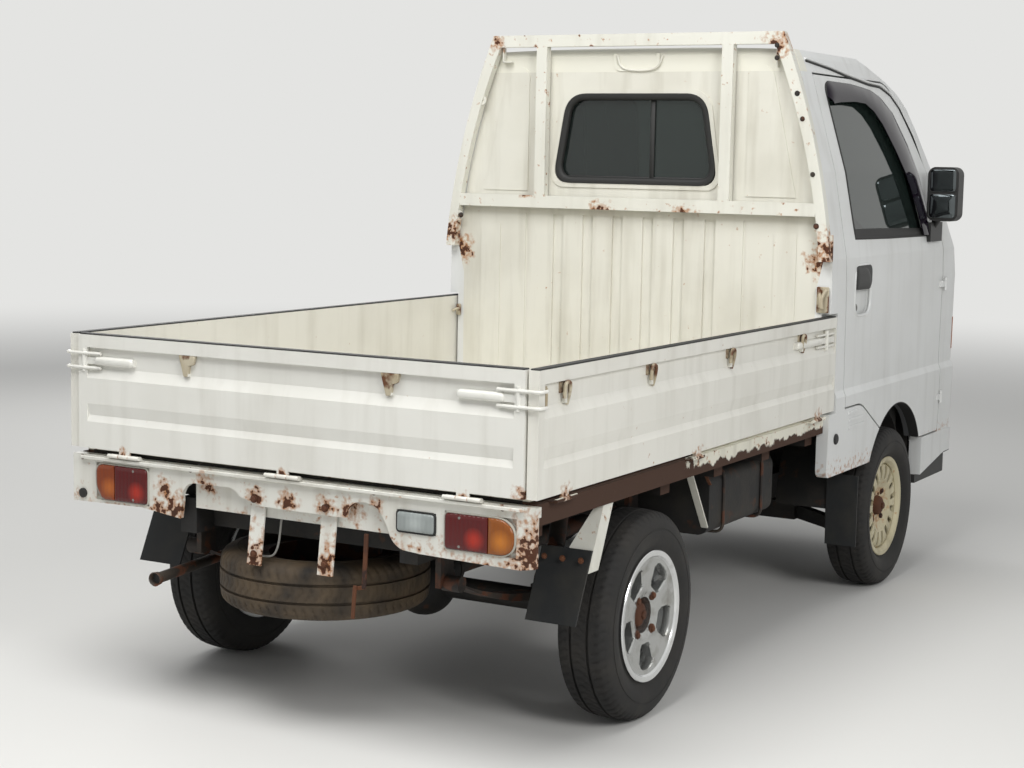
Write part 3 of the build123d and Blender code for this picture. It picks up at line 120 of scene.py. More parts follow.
floor_paint = bpy.data.materials.new("matt_studio_floor")
floor_paint.use_nodes = True
floor_tree = floor_paint.node_tree
floor_shader = floor_tree.nodes["Principled BSDF"]
floor_shader.inputs["Base Color"].default_value = colour("D9D8D4")
floor_shader.inputs["Roughness"].default_value = 0.85
floor_place = add(floor_tree, "ShaderNodeTexCoord").outputs["Object"]
floor_reach = add(floor_tree, "ShaderNodeVectorMath", {"operation": "LENGTH"}, {0: floor_place})
fading = add(floor_tree, "ShaderNodeMapRange", {"clamp": True, "interpolation_type": "SMOOTHSTEP"},
             {"Value": floor_reach.outputs["Value"], "From Min": fade_start, "From Max": fade_end})
fade_share = add(floor_tree, "ShaderNodeMath", {"operation": "MULTIPLY"},
                 {0: fading.outputs[0], 1: seen_directly(floor_tree)})
pale_glow = add(floor_tree, "ShaderNodeEmission", None, {"Color": colour(backdrop_code)})
floor_mix = add(floor_tree, "ShaderNodeMixShader", None,
                {0: fade_share.outputs[0], 1: floor_shader.outputs[0], 2: pale_glow.outputs[0]})
floor_tree.links.new(floor_mix.outputs[0], floor_tree.nodes["Material Output"].inputs["Surface"])
floor_mesh.materials.append(floor_paint)

surround = bpy.data.worlds.new("studio")
bpy.context.scene.world = surround
surround.use_nodes = True
sky = surround.node_tree
plain_light = add(sky, "ShaderNodeBackground", None, {"Color": colour("E6E8EB"), "Strength": 0.45})
backdrop = add(sky, "ShaderNodeBackground", None, {"Color": colour(backdrop_code), "Strength": 1.0})
choice = add(sky, "ShaderNodeMixShader", None,
             {0: seen_directly(sky), 1: plain_light.outputs[0], 2: backdrop.outputs[0]})
sky.links.new(choice.outputs[0], sky.nodes["World Output"].inputs["Surface"])

# columns: name, place, target, side in metres, watts
soft_boxes = [
    ("soft_box_above", (0.0, 3.0, 4.8), (0.0, 0.6, 0.4), 3.0, 190.0),
    ("soft_box_rear_right", (-4.8, 3.4, 3.6), (0.0, 0.2, 0.7), 2.0, 150.0),
    ("soft_box_front_left", (4.5, -3.5, 3.4), (0.0, -0.6, 0.8), 2.6, 70.0),
]
for name, place, target, side, watts in soft_boxes:
    light_data = bpy.data.lights.new(name, "AREA")
    light_data.shape = "SQUARE"
    light_data.size = side
    light_data.energy = watts
    light = bpy.data.objects.new(name, light_data)
    bpy.context.scene.collection.objects.link(light)
    light.location = place
    light.rotation_euler = (Vector(target) - Vector(place)).to_track_quat("-Z", "Y").to_euler()

# Frame and running gear
# Folded and welded steel, sprayed with black underseal, with years of road dust on what faces
# up and brown rust on it. Bolted to the bed above and the axles below.


def blank(name):
    """New material with its node tree, its shader and the object's coordinates."""
    made = bpy.data.materials.new(name)
    made.use_nodes = True
    tree = made.node_tree
    place = add(tree, "ShaderNodeTexCoord").outputs["Object"]
    return made, tree, tree.nodes["Principled BSDF"], place


def clouds(tree, place, size, detail=4.0, stretch=(1, 1, 1)):
    """Noise from 0 to 1 whose lumps are about one size in metres, stretched along the axes."""
    fitted = add(tree, "ShaderNodeMapping", None, {"Vector": place, "Scale": stretch})
    return add(tree, "ShaderNodeTexNoise", None, {"Vector": fitted.outputs[0], "Scale": 1 / size,
                                                  "Detail": detail}).outputs["Fac"]


def between(tree, value, low, high):
    """0 below one value, 1 above another, and a straight rise between them."""
    return add(tree, "ShaderNodeMapRange", {"clamp": True},
               {"Value": value, "From Min": low, "From Max": high}).outputs[0]


def mixed(tree, share, first, second):
    """Colour between two colours."""
    made = add(tree, "ShaderNodeMix", {"data_type": "RGBA"}, {0: share, 6: first, 7: second})
    return made.outputs[2]


def calc(tree, operation, first, second=0.0):
    """One sum on two values, kept between 0 and 1."""
    return add(tree, "ShaderNodeMath", {"operation": operation, "use_clamp": True},
               {0: first, 1: second}).outputs[0]


def raised(tree, shader, height, depth, strength=0.5):
    """Surface relief: a height from 0 to 1 stands for a real depth in metres."""
    relief = add(tree, "ShaderNodeBump", None, {"Strength": strength, "Distance": depth,
                                                "Height": height})
    tree.links.new(relief.outputs[0], shader.inputs["Normal"])


def dark_coat(name, coat, dust, rust, rust_share, rough=0.72):
    """Black underseal: a sprayed rubbery coat that looks dull and lumpy, greyed by dust and
    broken by brown rust."""
    made, tree, shader, place = blank(name)
    dust_patch, rust_patch, coat_lump = 0.11, 0.05, 0.012
    dusting = between(tree, clouds(tree, place, dust_patch), 0.42, 0.72)
    rusting = between(tree, clouds(tree, place, rust_patch, 8.0), rust_share, rust_share + 0.08)
    base = mixed(tree, dusting, colour(coat), colour(dust))
    tree.links.new(mixed(tree, rusting, base, colour(rust)), shader.inputs["Base Color"])
    shader.inputs["Roughness"].default_value = rough
    raised(tree, shader, clouds(tree, place, coat_lump, 5.0), 0.002, 0.35)
    return made


underseal = dark_coat("black_underseal", "131211", "2A2620", "38200F", 0.62)
rusty_steel = dark_coat("rusted_steel_pressing", "1F1A17", "3A3128", "4C2A17", 0.52)
cast_block = dark_coat("oily_cast_iron", "22211C", "403C34", "4B3524", 0.62)
scaled_steel = dark_coat("heat_scaled_steel_tube", "29231D", "443B31", "532F1B", 0.54)
bare_rust = dark_coat("brown_rust_scale", "4A2A18", "6B4023", "2A1710", 0.56, 0.85)
pale_rust = dark_coat("rust_stained_enamel", "B9B09A", "8C7A5A", "5B3418", 0.49, 0.6)


def finish_nodes(material, *names):
    """Gives a CAD node one material in place of its plain one."""
    for name in names:
        nodes[name].data.materials.clear()
        nodes[name].data.materials.append(material)


finish_nodes(underseal, "chassis_frame", "front_suspension", "rear_axle", "knuckle_left",
             "knuckle_right", "fuel_tank", "cab_floor")
finish_nodes(rusty_steel, "rear_springs", "propeller_shaft", "spare_carrier")
finish_nodes(cast_block, "engine_block")
finish_nodes(scaled_steel, "exhaust")


def skin(points, wrap_rows=False, wrap_columns=False):
    """Vertices and faces of a grid of points, rows by columns, joined up where it wraps."""
    rows, columns = points.shape[:2]
    index = np.arange(rows * columns).reshape(rows, columns)
    if wrap_rows:
        index = np.vstack([index, index[:1]])
    if wrap_columns:
        index = np.hstack([index, index[:, :1]])
    faces = np.stack([index[:-1, :-1], index[1:, :-1], index[1:, 1:], index[:-1, 1:]], axis=-1)
    return points.reshape(-1, 3), faces.reshape(-1, 4).tolist()


def build(name, parts, material, body, sharp=35.0):
    """Makes one piece from closed shells of vertices and faces, turns their faces outward,
    finishes it and lets it ride on a body."""
    vertices, faces, offset = [], [], 0
    for points, shape in parts:
        vertices.append(points)
        faces += [[corner + offset for corner in face] for face in shape]
        offset += len(points)
    mesh = bpy.data.meshes.new(name)
    mesh.from_pydata(np.vstack(vertices).tolist(), [], faces)
    shaped = bmesh.new()
    shaped.from_mesh(mesh)
    bmesh.ops.remove_doubles(shaped, verts=shaped.verts, dist=1e-6)
    bmesh.ops.recalc_face_normals(shaped, faces=shaped.faces)
    shaped.to_mesh(mesh)
    shaped.free()
    mesh.shade_smooth()
    mesh.set_sharp_from_angle(angle=math.radians(sharp))
    mesh.materials.append(material)
    made = bpy.data.objects.new(name, mesh)
    bpy.context.scene.collection.objects.link(made)
    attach(made, body)
    return made


def turned(profile, centre, axis, turns=24, closed=False, start=0.0):
    """Turned solid: rows of (along, radius) carried round an axis through a centre, from a start
    angle. An open profile starts and ends on the axis; a closed one is a ring's section."""
    profile = np.asarray(profile, float)
    axis = np.asarray(axis, float) / np.linalg.norm(axis)
    first = np.cross(axis, (0.0, 0.0, 1.0) if abs(axis[2]) < 0.9 else (1.0, 0.0, 0.0))
    first /= np.linalg.norm(first)
    second = np.cross(axis, first)
    turn = np.linspace(0, 2 * math.pi, turns, endpoint=False)[:, None, None] + start
    reach = profile[None, :, 1, None]
    points = (np.asarray(centre, float) + profile[None, :, 0, None] * axis
              + reach * (np.cos(turn) * first + np.sin(turn) * second))
    return skin(points, wrap_rows=True, wrap_columns=closed)


def tube(path, radius, sides=10, closed=False):
    """Round bar along a path. Each ring lies across the path, and its first axis is the normal
    of the plane that fits the path best, so the bar doesn't twist."""
    path = np.asarray(path, float)
    normal = np.linalg.svd(path - path.mean(0))[2][-1]
    along = np.roll(path, -1, 0) - np.roll(path, 1, 0) if closed else np.gradient(path, axis=0)
    along /= np.linalg.norm(along, axis=1, keepdims=True)
    first = normal - along * (along @ normal)[:, None]
    first /= np.linalg.norm(first, axis=1, keepdims=True)
    second = np.cross(along, first)
    turn = np.linspace(0, 2 * math.pi, sides, endpoint=False)[None, :, None]
    reach = np.broadcast_to(np.asarray(radius, float), len(path))[:, None, None]
    points = path[:, None] + reach * (first[:, None] * np.cos(turn) + second[:, None] * np.sin(turn))
    points, faces = skin(points, wrap_rows=closed, wrap_columns=True)
    if not closed:
        faces += [list(range(sides)), list(range(len(points) - sides, len(points)))]
    return points, faces


def bent(path, passes=3):
    """Bar's path with its corners bent round: each pass puts two points on each run, a quarter
    of the way from its ends, and keeps the two end points."""
    path = np.asarray(path, float)
    for _ in range(passes):
        near = path[:-1] * 0.75 + path[1:] * 0.25
        far = path[:-1] * 0.25 + path[1:] * 0.75
        path = np.vstack([path[:1], np.stack([near, far], axis=1).reshape(-1, 3)[1:-1], path[-1:]])
    return path


def rounded(corners, cut, steps=4, inset=0.0):
    """Closed outline with round corners, drawn in by the inset: each corner moves in along both
    of its runs' normals n and m by inset (n + m) / (1 + n m), and a curve leaves one run and meets
    the next at what is left of the cut."""
    corner = np.asarray(corners, float)
    ahead = np.roll(corner, -1, 0)
    area = np.sum(corner[:, 0] * ahead[:, 1] - ahead[:, 0] * corner[:, 1])
    run = (ahead - corner) / np.linalg.norm(ahead - corner, axis=1, keepdims=True)
    normal = np.stack([-run[:, 1], run[:, 0]], axis=1) * np.sign(area)
    before = np.roll(normal, 1, 0)
    corner = corner + inset * (normal + before) / (1 + np.sum(normal * before, axis=1, keepdims=True))
    back = np.roll(corner, 1, 0) - corner
    on = np.roll(corner, -1, 0) - corner
    back_length = np.linalg.norm(back, axis=1, keepdims=True)
    on_length = np.linalg.norm(on, axis=1, keepdims=True)
    least_cut = 0.0004
    cut = np.broadcast_to(np.maximum(np.asarray(cut, float) - inset, least_cut), len(corner))[:, None]
    enter = corner + back / back_length * np.minimum(cut, back_length * 0.499)
    leave = corner + on / on_length * np.minimum(cut, on_length * 0.499)
    share = np.linspace(0, 1, steps + 1)[None, :, None]
    curve = ((1 - share) ** 2 * enter[:, None] + 2 * share * (1 - share) * corner[:, None]
             + share ** 2 * leave[:, None])
    return curve.reshape(-1, 2)


def box_outline(u_low, u_high, v_low, v_high, cut, steps=4):
    """Corners, cut and steps of a rectangle with round corners, anticlockwise."""
    return [(u_low, v_low), (u_high, v_low), (u_high, v_high), (u_low, v_high)], cut, steps


def pillow(outline, levels, origin, u_axis, v_axis, w_axis, hollow=False):
    """Rounded slab: an outline (its corners, cut and steps) repeated at each (inset, height)
    level, with a flat face at each end. A hollow one is a frame whose section is the levels."""
    rings = [rounded(*outline, inset=inset) for inset, height in levels]
    heights = np.array([height for inset, height in levels])
    flat = np.stack(rings)
    points = (np.asarray(origin, float) + flat[..., :1] * np.asarray(u_axis, float)
              + flat[..., 1:] * np.asarray(v_axis, float)
              + heights[:, None, None] * np.asarray(w_axis, float))
    points, faces = skin(points, wrap_rows=hollow, wrap_columns=True)
    count = len(rings[0])
    if not hollow:
        faces += [list(range(count)), list(range(len(points) - count, len(points)))]
    return points, faces


def plate(one, other, axis, corner=0.003, edge=0.001):
    """Flat bar or plate between two opposite corners of its box, its broad faces across one
    axis, with round corners and broken edges."""
    low, high = np.minimum(one, other), np.maximum(one, other)
    u, v = [a for a in range(3) if a != axis]
    basis = np.eye(3)
    deep = high[axis] - low[axis]
    outline = box_outline(low[u], high[u], low[v], high[v], corner)
    levels = [(edge, 0), (0, edge), (0, deep - edge), (edge, deep)]
    return pillow(outline, levels, low[axis] * basis[axis], basis[u], basis[v], basis[axis])


def bolt(at, axis, size):
    """Hexagon head on a round washer: two turned rings, of 6 and of 16 sides."""
    washer = [(0, 0), (0, size * 1.3), (size * 0.25, size * 1.3), (size * 0.25, 0)]
    head = [(0, 0), (0, size), (size * 0.75, size), (size * 0.95, size * 0.75), (size * 0.95, 0)]
    return [turned(washer, at, axis, 16), turned(head, at, axis, 6)]


# What is bolted under the frame: the springs' clamps with their nuts, the rear dampers, and the
# fuel tank's two straps with its drain plug.
spring_x = 0.400
rear_axle_y = 1.001
clamp_half = 0.036
clamp_low_z = 0.262
clamp_high_z = 0.372
damper_rod = 0.019
damper_shroud = 0.024
under_parts = []
for sign in (-1, 1):
    near_x, far_x = sign * (spring_x - clamp_half), sign * (spring_x + clamp_half)
    for y in (rear_axle_y - clamp_half, rear_axle_y + clamp_half):
        strap = bent([(near_x, y, clamp_low_z), (near_x, y, clamp_high_z),
                      (far_x, y, clamp_high_z), (far_x, y, clamp_low_z)])
        under_parts.append(tube(strap, 0.006, 8))
        for x in (near_x, far_x):
            under_parts += bolt((x, y, clamp_low_z + 0.010), (0, 0, -1), 0.009)
    damper_low = np.array((sign * 0.345, rear_axle_y - 0.075, 0.25))
    damper_high = np.array((sign * 0.300, rear_axle_y - 0.230, 0.520))
    run = damper_high - damper_low
    length = np.linalg.norm(run)
    damper = [(0, 0), (0, damper_rod), (length * 0.5, damper_rod), (length * 0.5, damper_shroud),
              (length * 0.97, damper_shroud), (length, 0.012), (length, 0)]
    under_parts.append(turned(damper, damper_low, run, 20))
build("spring_clamps", under_parts, rusty_steel, "root")

tank_parts = []
strap_loop = rounded(*box_outline(-0.589, -0.3575, 0.368, 0.5545, 0.03, 5))
for band_y in (0.045, 0.330):
    ring_points = np.column_stack([strap_loop[:, 0], np.full(len(strap_loop), band_y), strap_loop[:, 1]])
    tank_parts.append(tube(ring_points, 0.005, 6, closed=True))
drain_plug = (-0.47, 0.19, 0.3725)
tank_parts += bolt(drain_plug, (0, 0, -1), 0.011)
build("tank_straps", tank_parts, rusty_steel, "root")

# Tyres
# Radial tyres with a road tread: two straight grooves, zigzag sipes and notched shoulders,
# in carbon-black rubber that looks charcoal, brown with dust on the sidewalls.
tyre_turns = 420
tread_blocks = 70
groove_depth = 0.0065
notch_depth = 0.0035
sipe_depth = 0.003
groove_from = 0.0195
groove_to = 0.0265


def tread_tyre(centre, bead_half, flat=False):
    """Tyre turned about the axle. Its profile runs from bead to bead in rows of (along the axle,
    radius), and the tread's points sink where they fall in a straight groove, in one of the
    zigzag sipes between the grooves, or past the shoulder in one of the slanted notches."""
    profile = np.array([
        (-bead_half, 0.1530), (-bead_half - 0.0002, 0.1640), (-bead_half * 0.7 - 0.018, 0.1735),
        (-bead_half * 0.3 - 0.047, 0.1830), (-bead_half * 0.1 - 0.065, 0.1960),
        (-0.0733, 0.2120), (-0.0730, 0.2200), (-0.0715, 0.2205), (-0.0712, 0.2260), (-0.0722, 0.2265),
        (-0.0700, 0.2400), (-0.0670, 0.2500), (-0.0640, 0.2560), (-0.0600, 0.2610), (-0.0550, 0.2650),
        (-0.0500, 0.2672), (-0.0440, 0.2682), (-0.0380, 0.2690), (-0.0320, 0.2696), (-0.0270, 0.2700),
        (-0.0262, 0.2700), (-0.0200, 0.2703), (-0.0192, 0.2704), (-0.0130, 0.2706), (-0.0070, 0.2708),
        (0.0, 0.2708)])
    mirrored = profile[:-1][::-1] * np.array([-1, 1])
    section = np.vstack([profile, mirrored])
    turn = np.linspace(0, 2 * math.pi, tyre_turns, endpoint=False)[:, None]
    offset = np.repeat(section[None, :, 0], tyre_turns, axis=0)
    radius = np.repeat(section[None, :, 1], tyre_turns, axis=0)
    from_middle = np.abs(offset)
    straight = (from_middle > groove_from) & (from_middle < groove_to)
    block = turn * tread_blocks / (2 * math.pi)
    notch_phase = (block + offset * 22) % 1.0
    notch = (from_middle > 0.034) & (radius > 0.2530) & (notch_phase < 0.22)
    sipe_phase = (block + np.abs(offset - 0.006) * 40) % 1.0
    sipe = (from_middle < 0.0190) & (sipe_phase < 0.16)
    sink = np.where(straight, groove_depth, np.where(notch, notch_depth, np.where(sipe, sipe_depth, 0.0)))
    radius = radius - sink
    first, second = radius * np.cos(turn), radius * np.sin(turn)
    if flat:
        points = np.stack([first, second, offset], axis=-1)
    else:
        points = np.stack([offset, first, second], axis=-1)
    return skin(points + np.array(centre), wrap_rows=True, wrap_columns=True)


def tyre_rubber(name, clean, dust, least=0.42):
    """Vulcanised carbon-black rubber: charcoal and dull, with brown dust in its lows."""
    made, tree, shader, place = blank(name)
    dusting = between(tree, clouds(tree, place, 0.08), least, 0.80)
    tree.links.new(mixed(tree, dusting, colour(clean), colour(dust)), shader.inputs["Base Color"])
    shader.inputs["Roughness"].default_value = 0.80
    raised(tree, shader, clouds(tree, place, 0.004, 3.0), 0.0006, 0.25)
    return made


rubber = tyre_rubber("dusty_tyre_rubber", "191817", "2B2824")
muddy_rubber = tyre_rubber("muddy_tyre_rubber", "1F1B17", "5E4E39", 0.30)
wheel_x = 0.6145
wheel_z = 0.271
front_axle_y = -0.884
steel_bead = 0.0498
alloy_bead = 0.0638
sides = (("left", 1), ("right", -1))
for end, axle_y, bead_half in (("front", front_axle_y, steel_bead), ("rear", rear_axle_y, alloy_bead)):
    for side, sign in sides:
        shape = tread_tyre((sign * wheel_x, axle_y, wheel_z), bead_half)
        tyre = build(f"tread_tyre_{end}_{side}", [shape], rubber, f"wheel_{end}_{side}", 50.0)
        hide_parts(f"tyre_{end}_{side}")
spare_centre = (0.080, 1.355, 0.355)
spare = build("tread_tyre_spare", [tread_tyre(spare_centre, steel_bead, flat=True)], muddy_rubber,
              "root", 50.0)
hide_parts("spare_tyre")

# Wheels
# In front, pressed steel discs in cream enamel with a ring of slots; at the rear, cast alloy in
# silver lacquer with five windows. Four nuts hold each, and the bare hub in its middle has rusted.


def wheel_disc(count, window, front, back, centre, sign, start=0.0):
    """Disc with a ring of windows, worked out as a front and a back sheet on one polar grid. Its
    columns are spaced by each window's half width at their radius, its rows are drawn in at the
    window's corners, and the window's rim steps down by an edge. Walls join the two sheets round
    each window, at the hub and at the rim."""
    inner, outer, half_inner, half_outer, corner, edge = window
    pitch = math.pi / count
    columns = np.array([-1, -0.8, -0.56, -0.5, -0.42, -0.25, 0, 0.25, 0.42, 0.5, 0.56, 0.8])
    rows = np.array([0, 0.35, 0.7, 0.9, 1.0, 1.15, 1.4, 1.6, 1.85, 2.0, 2.1, 2.35, 2.65, 3.0])
    hub, rim = front[0][1], front[-1][1]
    row = rows[:, None] * np.ones(len(columns))
    column = np.ones(len(rows))[:, None] * columns
    inside = np.clip(np.abs(column) * 2, 0, 1)
    past = np.clip(np.abs(column) * 2 - 1, 0, 1)
    bow = np.clip((inside - 0.5) / 0.5, 0, 1)
    draw = corner * (1 - np.sqrt(np.clip(1 - bow ** 2, 0, 1))) * (1 - past)
    low, high = inner + draw, outer - draw
    radius = np.where(row <= 1, hub + (low - hub) * row,
                      np.where(row <= 2, low + (high - low) * (row - 1), high + (rim - high) * (row - 2)))
    along = np.clip((radius - inner) / (outer - inner), 0, 1)
    half = half_inner + (half_outer - half_inner) * along
    half_angle = np.arcsin(np.clip(half / radius, 0, 0.98 * math.sin(pitch)))
    angle = np.sign(column) * np.where(np.abs(column) <= 0.5, inside * half_angle,
                                       half_angle + past * (pitch - half_angle))
    on_edge = (row >= 1) & (row <= 2) & (np.abs(column) <= 0.5)
    cell_middle = (columns + np.append(columns[1:], 1.0)) / 2
    opened = (rows[:-1, None] >= 1) & (rows[1:, None] <= 2) & (np.abs(cell_middle) < 0.5)
    turn = np.concatenate([angle + 2 * pitch * k for k in range(count)], axis=1) + start
    radius = np.tile(radius, (1, count))
    drop = np.tile(np.where(on_edge, edge, 0), (1, count))
    shut = ~np.tile(opened, (1, count))
    front, back = np.array(front), np.array(back)
    sheets = []
    for profile, step in ((front, drop), (back, 0)):
        offset = np.interp(radius, profile[:, 1], profile[:, 0]) - step
        sheets.append(np.stack([sign * offset, radius * np.sin(turn), radius * np.cos(turn)], axis=-1))
    total_rows, total = radius.shape
    index = np.arange(total_rows * total).reshape(total_rows, total)
    index = np.hstack([index, index[:, :1]])
    base = total_rows * total
    quads = np.stack([index[:-1, :-1], index[1:, :-1], index[1:, 1:], index[:-1, 1:]], axis=-1)[shut]
    faces = np.vstack([quads, quads + base])
    padded = np.vstack([np.zeros((1, total), bool), shut, np.zeros((1, total), bool)])
    across_rows = padded[:-1] != padded[1:]
    start_edge, end_edge = index[:, :-1][across_rows], index[:, 1:][across_rows]
    beside = shut != np.roll(shut, 1, axis=1)
    low_edge, high_edge = index[:-1, :-1][beside], index[1:, :-1][beside]
    for here, there in ((start_edge, end_edge), (low_edge, high_edge)):
        faces = np.vstack([faces, np.stack([here, there, there + base, here + base], axis=-1)])
    points = np.vstack([sheet.reshape(-1, 3) for sheet in sheets]) + np.array(centre)
    return points, faces.tolist()


def rim_ring(bead_half, centre, sign):
    """Rim turned about the axle: a flange at each edge, curled outward, and a barrel between
    them that drops into a well."""
    half = bead_half + 0.0002
    outer = [(half + 0.0066, 0.1685), (half + 0.0045, 0.1702), (half + 0.0012, 0.1690),
             (half, 0.1640), (half - 0.0004, 0.1524)]
    inner = [(half + 0.0064, 0.1655), (half + 0.0050, 0.1560), (half - 0.0010, 0.1500),
             (half - 0.0060, 0.1465)]
    section = outer + [(0.030, 0.1522), (0.018, 0.1440), (-0.018, 0.1440), (-0.030, 0.1522)]
    section += [(-a, r) for a, r in reversed(outer)] + [(-a, r) for a, r in inner]
    section += [(-0.032, 0.1465), (-0.018, 0.1385), (0.018, 0.1385), (0.032, 0.1465)]
    section += [(a, r) for a, r in reversed(inner)]
    return turned(section, centre, (sign, 0, 0), 96, closed=True)


def enamel(name, paint, stain, streaks, chips, spots=(), lower=None, sheen=0.34, spread=0.30):
    """Sprayed enamel over pressed steel: an even gloss paint, dulled by vertical rain streaks,
    with small ragged rust chips, and rust round the given spots and below a level. The chips
    are drawn at 16 to 20 mm, coarser than most real ones, so that they show."""
    rust_bloom, rust_scale, rust_pit = "A4692F", "5B3016", "2B1A10"
    chip_edge, bleed_width, bleed_share = 0.015, 0.075, 0.30
    made, tree, shader, place = blank(name)
    tone = between(tree, clouds(tree, place, 0.5), 0.35, 0.75)
    run = between(tree, clouds(tree, place, 0.05, 5.0, (1, 1, 0.09)), 0.50, 0.78)
    grubby = between(tree, clouds(tree, place, 0.25, 6.0), 0.45, 0.80)
    grime = calc(tree, "ADD", calc(tree, "MULTIPLY", run, 0.7), calc(tree, "MULTIPLY", grubby, 0.5))
    dirt = calc(tree, "ADD", calc(tree, "MULTIPLY", grime, streaks), calc(tree, "MULTIPLY", tone, 0.05))
    base = mixed(tree, dirt, colour(paint), colour(stain))
    ragged = clouds(tree, place, 0.016, 10.0)
    patchy = calc(tree, "ADD", clouds(tree, place, 0.30, 2.0), 0.5)
    flaking = calc(tree, "MULTIPLY", clouds(tree, place, 0.020, 9.0), patchy)
    worn = between(tree, flaking, chips, chips + chip_edge)
    bled = between(tree, flaking, chips - bleed_width, chips)
    zones = []
    for x, y, z, reach in spots:
        far = add(tree, "ShaderNodeVectorMath", {"operation": "DISTANCE"},
                  {0: place, 1: (x, y, z)}).outputs["Value"]
        zones.append((between(tree, far, reach * 1.35, reach * 0.10), 0.38))
    if lower:
        height = add(tree, "ShaderNodeSeparateXYZ", None, {0: place}).outputs["Z"]
        zones.append((between(tree, height, lower[1], lower[0]), spread))
    for near, share in zones:
        reached = calc(tree, "ADD", calc(tree, "MULTIPLY", near, share), ragged)
        worn = calc(tree, "MAXIMUM", worn, between(tree, reached, 0.80, 0.83))
        halo = calc(tree, "MULTIPLY", between(tree, reached, 0.60, 0.80), between(tree, near, 0.0, 0.25))
        bled = calc(tree, "MAXIMUM", bled, halo)
    rain = clouds(tree, place, 0.012, 4.0, (1, 1, 0.12))
    stained = calc(tree, "MULTIPLY", bled, calc(tree, "ADD", rain, bleed_share))
    base = mixed(tree, stained, base, colour(rust_bloom))
    shade = mixed(tree, clouds(tree, place, 0.018, 6.0), colour(rust_scale), colour(rust_pit))
    tree.links.new(mixed(tree, worn, base, shade), shader.inputs["Base Color"])
    rough = add(tree, "ShaderNodeMapRange", None, {"Value": worn, "To Min": sheen, "To Max": 0.9})
    tree.links.new(rough.outputs[0], shader.inputs["Roughness"])
    pits = calc(tree, "ADD", calc(tree, "MULTIPLY", worn, clouds(tree, place, 0.006, 5.0)),
                calc(tree, "MULTIPLY", clouds(tree, place, 0.35, 2.0), 0.10))
    raised(tree, shader, pits, 0.0012)
    return made


def overcoat(material, share_of, code, rough):
    """Second coat on part of a material: share_of works out where it lies from the material's
    tree and the object's coordinates, and there its colour and its roughness take over."""
    tree = material.node_tree
    shader = tree.nodes["Principled BSDF"]
    place = add(tree, "ShaderNodeTexCoord").outputs["Object"]
    share = share_of(tree, place)
    under = shader.inputs["Base Color"].links[0].from_socket
    tree.links.new(mixed(tree, share, under, colour(code)), shader.inputs["Base Color"])
    dull = add(tree, "ShaderNodeMix", None, {0: share, 3: rough})
    rough_link = shader.inputs["Roughness"].links
    if rough_link:
        tree.links.new(rough_link[0].from_socket, dull.inputs[2])
    else:
        dull.inputs[2].default_value = shader.inputs["Roughness"].default_value
    tree.links.new(dull.outputs[0], shader.inputs["Roughness"])


cream_enamel = enamel("cream_wheel_enamel", "C6BD9E", "6E6142", streaks=0.55, chips=0.74, sheen=0.45,
                      spots=[(sign * 0.645, front_axle_y, wheel_z, 0.075) for sign in (-1, 1)])


def cast_alloy(name, clean, dust, dust_low, rough):
    """Cast aluminium under clear lacquer: pale silver, a soft gloss with faint casting grain,
    and brown brake dust."""
    made, tree, shader, place = blank(name)
    dusting = between(tree, clouds(tree, place, 0.045, 6.0), dust_low, dust_low + 0.35)
    tree.links.new(mixed(tree, dusting, colour(clean), colour(dust)), shader.inputs["Base Color"])
    shader.inputs["Metallic"].default_value = 0.85
    shader.inputs["Roughness"].default_value = rough
    raised(tree, shader, clouds(tree, place, 0.003, 3.0), 0.0005, 0.15)
    return made


silver_alloy = cast_alloy("lacquered_cast_alloy", "B4B5B3", "77736A", 0.50, 0.27)
bright_rim = cast_alloy("machined_alloy_rim", "D9DADA", "8A857A", 0.60, 0.16)

# columns: end, axle, bead, count of windows, window (inner and outer radius, inner and outer half
# width, corner, edge), front sheet and back sheet as (along, radius), finish, slot
wheel_kinds = [
    ("front", front_axle_y, steel_bead, 16, (0.0920, 0.1435, 0.0082, 0.0122, 0.009, 0.0012),
     [(0.024, 0.034), (0.026, 0.060), (0.031, 0.074), (0.045, 0.092), (0.0475, 0.118), (0.045, 0.1385),
      (0.034, 0.1466)],
     [(0.018, 0.034), (0.020, 0.062), (0.025, 0.078), (0.039, 0.094), (0.0415, 0.118), (0.039, 0.136),
      (0.029, 0.1466)], cream_enamel, "wheel_paint"),
    ("rear", rear_axle_y, alloy_bead, 5, (0.0765, 0.1385, 0.0260, 0.0440, 0.014, 0.005),
     [(0.046, 0.047), (0.050, 0.052), (0.053, 0.068), (0.058, 0.100), (0.0605, 0.130), (0.0630, 0.146),
      (0.0660, 0.158)],
     [(0.012, 0.047), (0.016, 0.062), (0.026, 0.090), (0.034, 0.120), (0.040, 0.140), (0.060, 0.158)],
     silver_alloy, "wheel_alloy"),
]
nut_circle = 0.062
nut_sink = 0.004
window_lead = math.radians(36)
hub_profile = [(-0.012, 0), (-0.012, 0.046), (0.018, 0.046), (0.022, 0.040), (0.024, 0.0335),
               (0.034, 0.0320), (0.041, 0.028), (0.0455, 0.020), (0.047, 0.012), (0.047, 0)]
axle_nut = [(0.044, 0), (0.044, 0.0125), (0.051, 0.0125), (0.053, 0.0105), (0.053, 0)]
nut_cone = [(0, 0), (0, 0.0135), (0.0050, 0.0125), (0.0055, 0.0105), (0.0045, 0)]
nut_head = [(0, 0), (0, 0.0088), (0.009, 0.0088), (0.011, 0.0065), (0.011, 0)]
